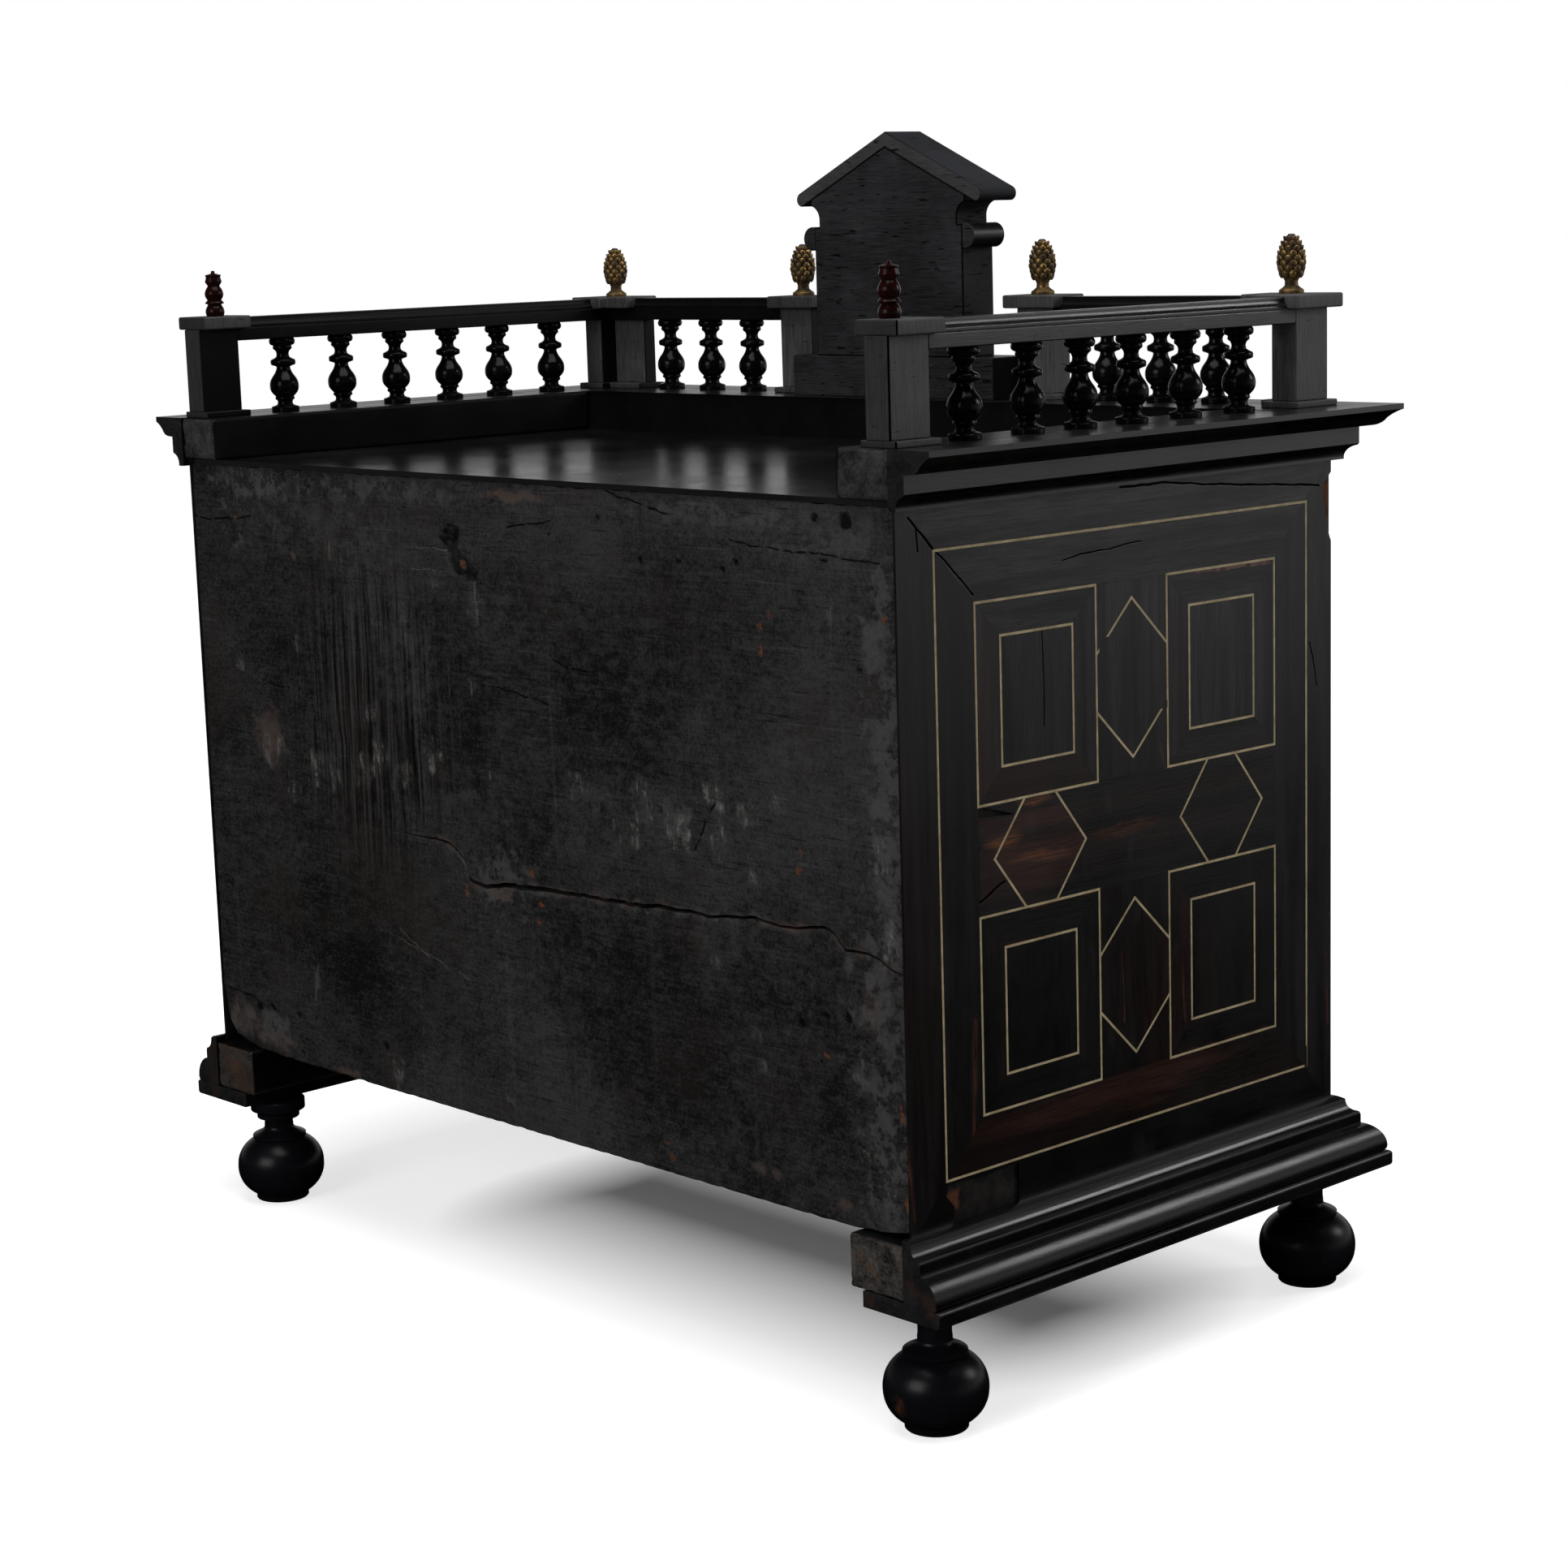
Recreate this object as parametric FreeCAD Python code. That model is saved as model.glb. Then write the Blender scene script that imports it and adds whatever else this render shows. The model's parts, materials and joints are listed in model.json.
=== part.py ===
import FreeCAD, Part
import os

# Jewelry cabinet: a table cabinet of ebonised wood, with inlaid sides, bun feet,
# a balustrade gallery and a gabled crest over the front.
# Millimetres, +Z up, front towards -Y. The shapes are drawn about the middle of the
# carcase and moved as they are written, so that the origin is under the middle of the whole.

Vec = FreeCAD.Vector

# Carcase
carcase_width = 800.0
carcase_depth = 443.0
carcase_bottom = 133.5
carcase_top = 616.0
board = 18.0
side_board = 20.0
back_board = 16.0
back_top = 612.0
back_joint = 320.0
veneer = 2.0
column_inside = 138.0
drawer_rows = 4
dust_board = 8.0
shelf_height = 372.0

# Drawers and door
side_gap = 1.0
drawer_bottom_gap = 0.3
drawer_top_gap = 1.3
drawer_front = 16.0
drawer_board = 8.0
drawer_length = 411.0
door_thick = 20.0
door_gap = 1.2
pin_radius = 4.0
pin_clearance = 0.05
pin_depth = 12.0
door_knob_x = 96.0
door_string_x = 78.0
door_string_in = 40.0
knob_flats = 10

# Inlaid panel of each side, about its own middle
panel_y = -2.5
panel_z = 375.0
string_width = 1.75
border_string = (190.0, 207.0)
tablet_near = (36.5, 37.0)
tablet_far = (153.5, 170.0)
tablet_inset = 23.5
# Middle of a lozenge from the panel's middle, half its length, and half its length where it is clipped
upright_lozenge = (103.5, 54.5, 19.5)
level_lozenge = (94.0, 44.8, 14.8)

# Base
plinth_bottom = 84.3
plinth_top = 96.0
plinth_reach = 32.3
base_block = 50.0
base_behind = 9.0
foot_x = (-393.0, 368.0)
foot_y = (-202.0, 195.0)
foot_ball = 35.5
foot_flats = 16

# Cornice
cornice_bottom = 610.0
gallery_floor = 648.5
crown_reach = 36.6
cornice_behind = 5.5
side_block = 47.0
front_block = 63.0

# Gallery
post_out = 397.0
post_thick = 22.0
front_thick = 19.5
post_wide = 37.0
post_bottom = 653.0
post_top = 718.0
cap_top = 728.0
cap_over = 8.0
strip_over = 5.0
cap_in = 340.0
corner_thick = 12.0
# Inner end of a corner's front board, and rear edge of its side board. The two sides differ.
left_corner = (361.0, -185.5)
right_corner = (335.0, -194.0)
inner_post = (115.0, 152.0)
rail_bottom = 708.0
rail_top = 726.5
left_balusters = (142.0, 82.5, 31.0, -21.0, -77.5, -135.0)
right_balusters = (135.5, 78.0, 23.0, -32.5, -86.0, -144.0)
front_balusters = (198.3, 250.5, 303.2)
corner_cone = (373.0, -211.0)
spindle_place = (380.0, 201.5)
gallery_flats = 8
arc_points = 4

# Crest
crest_rear = -177.0
crest_foot = (111.5, 219.0, 681.0)
crest_half = 82.0
crest_front = -211.5
roll_bottom = 765.5
roll_top = 783.0
roll_reach = 13.0
neck_half = 76.5
gable_half = 85.4
gable_foot = 805.2
ridge_under = 844.4
ridge_top = 856.0
roof_deep = 41.0

half_x = carcase_width / 2
half_y = carcase_depth / 2
inside_x = half_x - veneer - side_board
back_y = half_y - back_board
floor_z = carcase_bottom + board
ceiling_z = carcase_top - board
row_pitch = (ceiling_z - floor_z + dust_board) / drawer_rows
base_rear = half_y + base_behind
cornice_rear = half_y + cornice_behind
to_origin = Vec(0, (half_y + crown_reach - base_rear) / 2, 0)

os.makedirs("parts", exist_ok=True)


def save(name, solids):
    whole = Part.Compound(solids)
    whole.translate(to_origin)
    whole.exportStep("parts/" + name + ".step")


def box(x0, x1, y0, y1, z0, z1):
    return Part.makeBox(x1 - x0, y1 - y0, z1 - z0, Vec(x0, y0, z0))


def across(solids):
    return [solid.mirror(Vec(0, 0, 0), Vec(1, 0, 0)) for solid in solids]


def both(solids):
    return solids + across(solids)


# A pair is a corner. A pair of pairs is an arc: a point on it, then its end.
def outline(points, place):
    edges = []
    start = place(*points[0])
    for step in points[1:] + points[:1]:
        if isinstance(step[0], tuple):
            end = place(*step[1])
            edges.append(Part.Arc(start, place(*step[0]), end).toShape())
        else:
            end = place(*step)
            edges.append(Part.makeLine(start, end))
        start = end
    return Part.Face(Part.Wire(edges))


def slab(points, z0, z1):
    return outline(points, lambda x, y: Vec(x, y, z0)).extrude(Vec(0, 0, z1 - z0))


# A turned piece from its half section, given as radius and height. It has flats in place
# of its round, and each arc a few of them, so that pieces which repeat stay light.
def turned(points, flats):
    section = [Vec(points[0][0], 0, points[0][1])]
    for step in points[1:]:
        if isinstance(step[0], tuple):
            through, end = [Vec(r, 0, z) for r, z in step]
            section.extend(Part.Arc(section[-1], through, end).toShape().discretize(arc_points)[1:])
        else:
            section.append(Vec(step[0], 0, step[1]))
    turn = FreeCAD.Rotation(Vec(0, 0, 1), 360.0 / flats)
    rings = []
    for point in section:
        ring = [point]
        for flat in range(flats - 1):
            ring.append(turn.multVec(ring[-1]))
        rings.append(ring + ring[:1])
    faces = [Part.Face(Part.makePolygon(ring)) for ring in (rings[0], rings[-1])]
    for low, high in zip(rings, rings[1:]):
        for k in range(flats):
            corners = [low[k], low[k + 1], high[k + 1], high[k], low[k]]
            faces.append(Part.Face(Part.makePolygon(corners)))
    solid = Part.Solid(Part.Shell(faces))
    if solid.Volume < 0:
        solid.reverse()
    return solid


def stand(solid, x, y, z):
    return solid.translated(Vec(x, y, z))


# A moulding round the left side, the front and the right side, mitred at the corners.
# Its section is drawn as reach from the face and height.
def mitred(section, wide, rear, front):
    far = 60.0
    left_face = outline(section, lambda p, z: Vec(-wide - p, rear, z))
    left_plan = [(-wide + far, rear), (-wide - far, rear),
                 (-wide - far, front - far), (-wide + far, front + far)]
    front_face = outline(section, lambda p, z: Vec(-wide - far, front - p, z))
    front_plan = [(-wide - far, front - far), (wide + far, front - far),
                  (wide - far, front + far), (-wide + far, front + far)]
    left = left_face.extrude(Vec(0, front - far - rear, 0)).common(slab(left_plan, 0, 1000))
    middle = front_face.extrude(Vec(2 * (wide + far), 0, 0)).common(slab(front_plan, 0, 1000))
    return both(left.Solids) + middle.Solids


# Carcase boards. The back boards cover the full width, below a lip of the top board.
save("side_boards", both([box(inside_x, inside_x + side_board, -half_y, back_y,
                              carcase_bottom, ceiling_z)]))
pin_x = -column_inside + board + side_gap + door_thick / 2
pin_y = -half_y + door_thick / 2
seat = Part.makeCylinder(pin_radius, ceiling_z - floor_z + 2 * pin_depth,
                         Vec(pin_x, pin_y, floor_z - pin_depth))
top_section = [(-half_y, ceiling_z), (back_y, ceiling_z), (back_y, back_top),
               (half_y, back_top), (half_y, carcase_top), (-half_y, carcase_top)]
top = outline(top_section, lambda y, z: Vec(-half_x + veneer, y, z))
top = top.extrude(Vec(carcase_width - 2 * veneer, 0, 0))
save("top_board", top.cut(seat).Solids)
bottom = box(-inside_x, inside_x, -half_y, back_y, carcase_bottom, floor_z)
save("bottom_board", bottom.cut(seat).Solids)
save("back_boards", [box(-half_x + veneer, half_x - veneer, back_y, half_y, low, high)
                     for low, high in ((carcase_bottom, back_joint), (back_joint, back_top))])
save("partitions", both([box(column_inside - board, column_inside, -half_y, back_y,
                             floor_z, ceiling_z)]))
save("dust_boards", both([box(column_inside, inside_x, -half_y, back_y,
                              floor_z + row * row_pitch - dust_board, floor_z + row * row_pitch)
                          for row in range(1, drawer_rows)]))
save("cupboard_shelf", [box(-column_inside + board, column_inside - board, -half_y + 32, back_y,
                            shelf_height, shelf_height + 10)])


# Inlaid sides. Veneer and stringing lie side by side on the board, drawn as (y, z).
def leaf(points):
    face = outline(points, lambda y, z: Vec(half_x - veneer, panel_y + y, panel_z + z))
    return face.extrude(Vec(veneer, 0, 0))


def quarters(points):
    shapes = []
    for sy in (1, -1):
        for sz in (1, -1):
            shapes.append([(sy * y, sz * z) for y, z in points])
    return shapes


# The four mitred pieces between two rectangles given as (y0, y1, z0, z1)
def frame(outer, inner):
    y0, y1, z0, z1 = outer
    a0, a1, b0, b1 = inner
    uprights = [[(y0, z0), (a0, b0), (a0, b1), (y0, z1)], [(y1, z0), (y1, z1), (a1, b1), (a1, b0)]]
    levels = [[(y0, z0), (y1, z0), (a1, b0), (a0, b0)], [(y0, z1), (a0, b1), (a1, b1), (y1, z1)]]
    return uprights, levels


def grown(rectangle, by):
    y0, y1, z0, z1 = rectangle
    return (y0 - by, y1 + by, z0 - by, z1 + by)


half_string = string_width / 2
border = (-border_string[0], border_string[0], -border_string[1], border_string[1])
near_y, near_z = tablet_near
far_y, far_z = tablet_far
field = (-far_y, far_y, -far_z, far_z)
side_edge = (-half_y - panel_y, half_y - panel_y, carcase_bottom - panel_z, carcase_top - panel_z)
tablets = [(near_y, far_y, near_z, far_z), (-far_y, -near_y, near_z, far_z),
           (near_y, far_y, -far_z, -near_z), (-far_y, -near_y, -far_z, -near_z)]

strings = []
for rectangle in [border] + tablets + [grown(tablet, -tablet_inset) for tablet in tablets]:
    for pieces in frame(grown(rectangle, half_string), grown(rectangle, -half_string)):
        strings.extend(pieces)

# A lozenge string runs from its point to the tablet edge that clips it.
for lozenge, edge in ((upright_lozenge, near_y), (level_lozenge, near_z)):
    middle, point, clipped = lozenge
    rise = (point - clipped) / edge
    thick = half_string * (1 + rise * rise) ** 0.5
    stop = edge - half_string
    end = point - rise * stop
    for sign in (1, -1):
        strip = [(0, middle + sign * (point - thick)), (stop, middle + sign * (end - thick)),
                 (stop, middle + sign * (end + thick)), (0, middle + sign * (point + thick))]
        if lozenge == level_lozenge:
            strip = [(y, z) for z, y in strip]
        strings.extend(quarters(strip))

string_solids = [leaf(points) for points in strings]
all_strings = Part.Compound(string_solids)

uprights, levels = frame(side_edge, field)
for tablet in tablets:
    centre = grown(tablet, -tablet_inset)
    more_uprights, more_levels = frame(tablet, centre)
    uprights = uprights + more_uprights
    levels = levels + more_levels
    y0, y1, z0, z1 = centre
    uprights.append([(y0, z0), (y1, z0), (y1, z1), (y0, z1)])
for low, high in ((near_z, far_z), (-far_z, -near_z)):
    uprights.append([(-near_y, low), (near_y, low), (near_y, high), (-near_y, high)])
levels.append([(-far_y, -near_z), (far_y, -near_z), (far_y, near_z), (-far_y, near_z)])

upright_solids = []
for points in uprights:
    upright_solids.extend(leaf(points).cut(all_strings).Solids)
level_solids = []
for points in levels:
    level_solids.extend(leaf(points).cut(all_strings).Solids)

save("veneer_upright_right", upright_solids)
save("veneer_upright_left", across(upright_solids))
save("veneer_level_right", level_solids)
save("veneer_level_left", across(level_solids))
save("stringing_right", string_solids)
save("stringing_left", across(string_solids))

# Base: blocks under the carcase, a fascia with a hollow top, a half-round strip in front of
# it, and a flat strip that carries the feet. None of them crosses the rear, and all of them
# stand out a little behind the carcase.
save("base_blocks", both([box(half_x - base_block, half_x, -half_y + base_block, base_rear,
                              plinth_top, carcase_bottom)])
     + [box(-half_x, half_x, -half_y, -half_y + base_block, plinth_top, carcase_bottom)])
fascia = [(0, plinth_top), (15.7, plinth_top), (15.7, 124.0), (14.8, 126.4),
          ((10.0, 129.0), (8.0, 133.0)), (7.4, 136.4), (3.4, 138.5), (0, 138.5)]
save("base_moulding", mitred(fascia, half_x, base_rear, -half_y))
torus = [(15.7, plinth_top), (27.8, plinth_top), ((29.4, 98.0), (29.7, 100.2)),
         ((26.9, 109.6), (18.7, 116.8)), (15.7, 117.0)]
save("base_torus", mitred(torus, half_x, base_rear, -half_y))
strip = [(-38.0, plinth_bottom), (30.8, plinth_bottom), (plinth_reach, plinth_bottom + 1.5),
         (plinth_reach, plinth_top - 1.5), (30.8, plinth_top), (-38.0, plinth_top)]
save("plinth_strip", mitred(strip, half_x, base_rear, -half_y))
foot = turned([(21.5, 0), (21.5, 6.5), ((31.0, 13.0), (foot_ball, 26.0)), ((31.6, 38.5), (23.0, 45.0)),
               (21.4, 46.0), (21.4, 49.0), ((13.4, 52.6), (11.5, 59.0)), (11.5, 65.0), (17.0, 66.5),
               (17.0, 71.0), (22.4, 72.5), (22.4, plinth_bottom)], foot_flats)
save("bun_feet", [stand(foot, x, y, 0) for x in foot_x for y in foot_y])

# Cornice: blocks on the top board, a bed moulding in front of them, a crown strip outside it.
save("cornice_blocks", both([box(half_x - side_block, half_x, -half_y + front_block, cornice_rear,
                                 carcase_top, gallery_floor)])
     + [box(-half_x, half_x, -half_y, -half_y + front_block, carcase_top, gallery_floor)])
bed = [(0, cornice_bottom), (6.5, cornice_bottom), (6.5, 611.5), ((8.6, 617.1), (13.4, 619.8)),
       (14.2, 621.0), (14.2, gallery_floor), (0, gallery_floor)]
save("bed_moulding", mitred(bed, half_x, cornice_rear, -half_y))
crown = [(14.2, 633.0), (20.0, 633.4), ((25.6, 635.4), (28.2, 638.6)),
         ((31.2, 641.4), (crown_reach, 644.6)), (crown_reach, gallery_floor), (14.2, gallery_floor)]
save("crown_moulding", mitred(crown, half_x, cornice_rear, -half_y))

# Gallery posts. A corner post is a side board and a lower, thinner front board that meet in an L.
post_in = post_out - post_thick
front_back = -half_y + front_thick
rear_front = half_y - post_wide


def corner_post(inner, back):
    return [box(post_in, post_out, -half_y, back, post_bottom, post_top),
            box(inner, post_in, -half_y, -half_y + corner_thick, post_bottom, rail_bottom)]


posts = both([box(post_in, post_out, rear_front, half_y - 1, post_bottom, post_top),
              box(inner_post[0], inner_post[1], -half_y, front_back, post_bottom, post_top)])
posts = posts + corner_post(*right_corner) + across(corner_post(*left_corner))
save("gallery_posts", posts)


# The plates under and over the posts, larger than them by a margin but flush at the rear
def corner_plate(over, inner, back, low, high):
    return slab([(inner, -half_y - over), (post_out + over, -half_y - over),
                 (post_out + over, back + over), (post_in - over, back + over),
                 (post_in - over, front_back + over), (inner, front_back + over)], low, high)


def straight_plates(over, low, high):
    rear_edge = half_y - 1
    rear = slab([(post_in - over, rear_front - over), (post_out + over, rear_front - over),
                 (post_out + over, rear_edge), (post_in - over, rear_edge)], low, high)
    left, right = inner_post
    inner = slab([(left - over, -half_y - over), (right + over, -half_y - over),
                  (right + over, front_back + over), (left - over, front_back + over)], low, high)
    return both([rear, inner])


# The inner plates stop at the foot of the crest.
foot_half, foot_front, foot_top = crest_foot
crest_plinth = box(-foot_half, foot_half, -foot_front, crest_rear, gallery_floor, foot_top)
plates = straight_plates(strip_over, gallery_floor, post_bottom)
plates = [plate.cut(crest_plinth).Solids[0] for plate in plates]
caps = straight_plates(cap_over, post_top, cap_top)
for corner, side in ((right_corner, list), (left_corner, across)):
    inner, back = corner
    plates = plates + side([corner_plate(strip_over, inner - strip_over, back, gallery_floor, post_bottom)])
    caps = caps + side([corner_plate(cap_over, cap_in, back, post_top, cap_top)])
save("post_bases", plates)
save("post_caps", caps)

# Handrails run between the posts, and their moulded cappings between the caps. The front ones
# pass over the corner's front boards.
rail_x = post_out - post_thick / 2
rail_y = -half_y + front_thick / 2
capping = [(-9.5, post_top), (9.5, post_top), (9.5, post_top + 2.5), ((7.6, 722.4), (7.0, 725.0)),
           (7.0, rail_top), (-7.0, rail_top), (-7.0, 725.0), ((-7.6, 722.4), (-9.5, post_top + 2.5))]


def side_rail(back):
    return box(post_in, post_out, back, rear_front, rail_bottom, post_top)


def side_capping(back):
    face = outline(capping, lambda u, z: Vec(rail_x + u, back + cap_over, z))
    return face.extrude(Vec(0, rear_front - back - 2 * cap_over, 0))


front_rail = box(inner_post[1], post_in, -half_y, front_back, rail_bottom, post_top)
front_capping = outline(capping, lambda u, z: Vec(inner_post[1] + cap_over, rail_y + u, z))
front_capping = front_capping.extrude(Vec(cap_in - inner_post[1] - cap_over, 0, 0))
rails = both([front_rail])
cappings = both([front_capping])
for corner, side in ((right_corner, list), (left_corner, across)):
    rails = rails + side([side_rail(corner[1])])
    cappings = cappings + side([side_capping(corner[1])])
save("handrails", rails)
save("rail_cappings", cappings)

baluster_height = rail_bottom - gallery_floor
baluster = turned([(11.3, 0), (11.3, 4.0), (6.2, 7.0), (7.8, 11.0), ((11.8, 20.4), (5.6, 35.5)),
                   (10.1, 38.0), (10.1, 42.0), (5.0, 46.0), (7.8, 52.0), (10.4, 54.0),
                   (10.4, baluster_height)], gallery_flats)
balusters = both([stand(baluster, x, rail_y, gallery_floor) for x in front_balusters])
balusters = balusters + [stand(baluster, rail_x, y, gallery_floor) for y in right_balusters]
balusters = balusters + [stand(baluster, -rail_x, y, gallery_floor) for y in left_balusters]
save("balusters", balusters)

# Finials on the caps: bronze pine cones along the front, turned wood at the rear
cone = turned([(9.0, 0), (9.0, 2.5), (4.8, 5.5), (4.7, 8.5), (8.4, 13.0),
               ((10.9, 20.0), (8.4, 33.0)), (5.8, 39.0), (2.6, 42.6)], gallery_flats)
cone_x, cone_y = corner_cone
save("pinecone_finials", both([stand(cone, cone_x, cone_y, cap_top),
                               stand(cone, sum(inner_post) / 2, rail_y, cap_top)]))
spindle = turned([(6.6, 0), ((7.7, 3.4), (5.4, 9.0)), (7.6, 10.4), (5.4, 13.0), ((7.6, 17.8), (4.6, 24.0)),
                  (6.8, 27.4), (5.6, 31.0), (6.4, 32.4), (1.6, 34.0), (1.4, 36.0)], gallery_flats)
spindle_x, spindle_y = spindle_place
save("turned_finials", both([stand(spindle, spindle_x, spindle_y, cap_top)]))

# Crest: a board with a gable on a plinth, a half-round strip on each side, and two roof boards
crest_shape = [(-crest_half, foot_top), (crest_half, foot_top), (crest_half, roll_top),
               (neck_half, roll_top), (neck_half, 790.0), ((79.0, 796.0), (gable_half, 800.0)),
               (gable_half, gable_foot), (0, ridge_under), (-gable_half, gable_foot), (-gable_half, 800.0),
               ((-79.0, 796.0), (-neck_half, 790.0)), (-neck_half, roll_top), (-crest_half, roll_top)]
crest = outline(crest_shape, lambda x, z: Vec(x, crest_rear, z))
save("crest_body", [crest.extrude(Vec(0, crest_front - crest_rear, 0))])
roll = [(0, roll_bottom), ((roll_reach, (roll_bottom + roll_top) / 2), (0, roll_top))]
roll = outline(roll, lambda p, z: Vec(crest_half + p, crest_rear, z))
save("crest_mouldings", [crest_plinth] + both([roll.extrude(Vec(0, crest_front - crest_rear, 0))]))
slope = (ridge_under - gable_foot) / gable_half
eave = [(0, ridge_under), (96.7, ridge_under - slope * 96.7),
        ((102.0, 805.2), (98.6, ridge_top - slope * 98.6)), (0, ridge_top)]
roof = outline(eave, lambda x, z: Vec(x, crest_rear, z)).extrude(Vec(0, -roof_deep, 0))
save("crest_roof", both([roof]))

# Knobs: turned about Z, then laid so that they point out of the front
knob = turned([(7.0, 0), (7.0, 1.5), (3.5, 4.0), ((7.0, 8.6), (3.0, 13.5))], knob_flats)
knob.rotate(Vec(0, 0, 0), Vec(1, 0, 0), 90)

# Door on a pin at its foot and one at its head, its hinge edge round about them
door_low = floor_z + door_gap
door_high = ceiling_z - door_gap
door_left = pin_x - door_thick / 2
door_right = column_inside - board - 2 * side_gap
door_plan = [(door_right, -half_y), (door_right, -half_y + door_thick), (pin_x, -half_y + door_thick),
             ((door_left, pin_y), (pin_x, -half_y))]
door = slab(door_plan, door_low, door_high)
sockets = [Part.makeCylinder(pin_radius + pin_clearance, pin_depth + 1, Vec(pin_x, pin_y, z))
           for z in (door_low, door_high - pin_depth - 1)]
door_rectangle = (-door_string_x, door_string_x, door_low + door_string_in, door_high - door_string_in)
door_strings = []
for pieces in frame(grown(door_rectangle, half_string), grown(door_rectangle, -half_string)):
    for points in pieces:
        face = outline(points, lambda x, z: Vec(x, -half_y, z))
        door_strings.append(face.extrude(Vec(0, veneer, 0)))
door = door.cut(Part.Compound(sockets + door_strings))
save("door_panel", door.Solids)
save("door_stringing", door_strings)
save("door_knob", [stand(knob, door_knob_x, -half_y, panel_z)])
save("door_pivots", [Part.makeCylinder(pin_radius, 2 * pin_depth, Vec(pin_x, pin_y, z - pin_depth))
                     for z in (floor_z, ceiling_z)])

# Drawers 1 to 4 down the left column, 5 to 8 down the right
opening_high = row_pitch - dust_board
front_high = opening_high - drawer_bottom_gap - drawer_top_gap
for number in range(2 * drawer_rows):
    name = "drawer_" + str(number + 1)
    row = drawer_rows - 1 - number % drawer_rows
    z0 = floor_z + row * row_pitch + drawer_bottom_gap
    x0 = column_inside + side_gap
    x1 = inside_x - side_gap
    if number < drawer_rows:
        x0, x1 = -x1, -x0
    middle = (x0 + x1) / 2
    knob_z = z0 + front_high / 2
    y0 = -half_y + drawer_front
    y1 = -half_y + drawer_length
    high = z0 + front_high - 6
    save(name + "_front", [box(x0, x1, -half_y, y0, z0, z0 + front_high)])
    save(name + "_box", [box(x0, x0 + drawer_board, y0, y1, z0, high),
                         box(x1 - drawer_board, x1, y0, y1, z0, high),
                         box(x0 + drawer_board, x1 - drawer_board, y1 - drawer_board, y1, z0, high),
                         box(x0 + drawer_board, x1 - drawer_board, y0, y1 - drawer_board, z0 + 2, z0 + 7)])
    save(name + "_knob", [stand(knob, middle, -half_y, knob_z)])
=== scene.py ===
import bpy
import json
import math
from mathutils import Matrix, Vector, noise


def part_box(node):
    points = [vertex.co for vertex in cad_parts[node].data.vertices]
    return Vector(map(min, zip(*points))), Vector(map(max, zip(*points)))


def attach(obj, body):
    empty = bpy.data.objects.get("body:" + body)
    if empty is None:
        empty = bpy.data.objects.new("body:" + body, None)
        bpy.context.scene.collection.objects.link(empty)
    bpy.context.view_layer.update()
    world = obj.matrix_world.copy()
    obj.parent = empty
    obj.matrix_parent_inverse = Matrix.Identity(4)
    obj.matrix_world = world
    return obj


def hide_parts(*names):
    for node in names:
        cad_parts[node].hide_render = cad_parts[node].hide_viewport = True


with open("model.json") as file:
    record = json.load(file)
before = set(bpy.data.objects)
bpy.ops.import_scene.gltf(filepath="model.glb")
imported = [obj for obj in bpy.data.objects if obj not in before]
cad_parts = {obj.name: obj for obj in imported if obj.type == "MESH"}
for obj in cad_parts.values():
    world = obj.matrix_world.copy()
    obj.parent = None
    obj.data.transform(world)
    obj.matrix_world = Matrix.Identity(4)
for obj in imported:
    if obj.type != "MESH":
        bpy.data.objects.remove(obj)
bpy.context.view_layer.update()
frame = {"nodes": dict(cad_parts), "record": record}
print("frame loaded,", len(frame["nodes"]), "nodes")

mm = 0.001
carcaseHalfDeep = 221.5
alongX, alongY, alongZ = (1, 0, 0), (0, 1, 0), (0, 0, 1)
noiseSpan = (0.3, 0.7)   # most values of a noise lie in this span
backLow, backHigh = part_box("back_boards")
rearY = backHigh[1]
carcaseY = rearY - carcaseHalfDeep * mm   # middle of the carcase in the shared frame
stringLow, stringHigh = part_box("stringing_left")
panelMiddle = (Vector(stringLow) + Vector(stringHigh)) / 2   # middle of the inlaid side
bodyOf = {node: body for body, nodes in frame["record"]["behaviour"]["bodies"].items() for node in nodes}


# selection and small modelling helpers; weld distances in mm, angles in degrees
lathe = {"weld": 0.01, "smooth": 38}
merging = {"weld": 0.02, "flat": 0.5}
finishSlot, edgeSlot, rearSlot, shadedInnerSlot = range(4)


def dropSelection():
    if bpy.context.object and bpy.context.object.mode != "OBJECT":
        bpy.ops.object.mode_set(mode="OBJECT")
    bpy.ops.object.select_all(action="DESELECT")


def pick(*objs):
    dropSelection()
    for obj in objs:
        obj.select_set(True)
    bpy.context.view_layer.objects.active = objs[0]


def editAll(obj):
    pick(obj)
    bpy.ops.object.mode_set(mode="EDIT")
    bpy.ops.mesh.select_all(action="SELECT")


def leaveEdit():
    bpy.ops.object.mode_set(mode="OBJECT")


def applyModifier(obj, kind, **values):
    pick(obj)
    modifier = obj.modifiers.new(kind.lower(), kind)
    for key, value in values.items():
        setattr(modifier, key, value)
    bpy.ops.object.modifier_apply(modifier=modifier.name)


def smoothBy(obj, degrees, weighted=False):
    pick(obj)
    bpy.ops.object.shade_smooth_by_angle(angle=math.radians(degrees))
    if weighted:
        applyModifier(obj, "WEIGHTED_NORMAL", keep_sharp=True)


def faceOutward(piece):
    editAll(piece)
    bpy.ops.mesh.normals_make_consistent(inside=False)
    leaveEdit()


def easeSharp(piece, width, segments, degrees):
    # all faces in the first finish, and the sharp edges eased in the second
    for face in piece.data.polygons:
        face.material_index = finishSlot
    applyModifier(piece, "BEVEL", width=width * mm, segments=segments, limit_method="ANGLE",
                  angle_limit=math.radians(degrees), material=edgeSlot)


def joinPieces(pieces, name):
    pick(*pieces)
    bpy.ops.object.join()
    joined = bpy.context.object
    joined.name = name
    return joined


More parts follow.
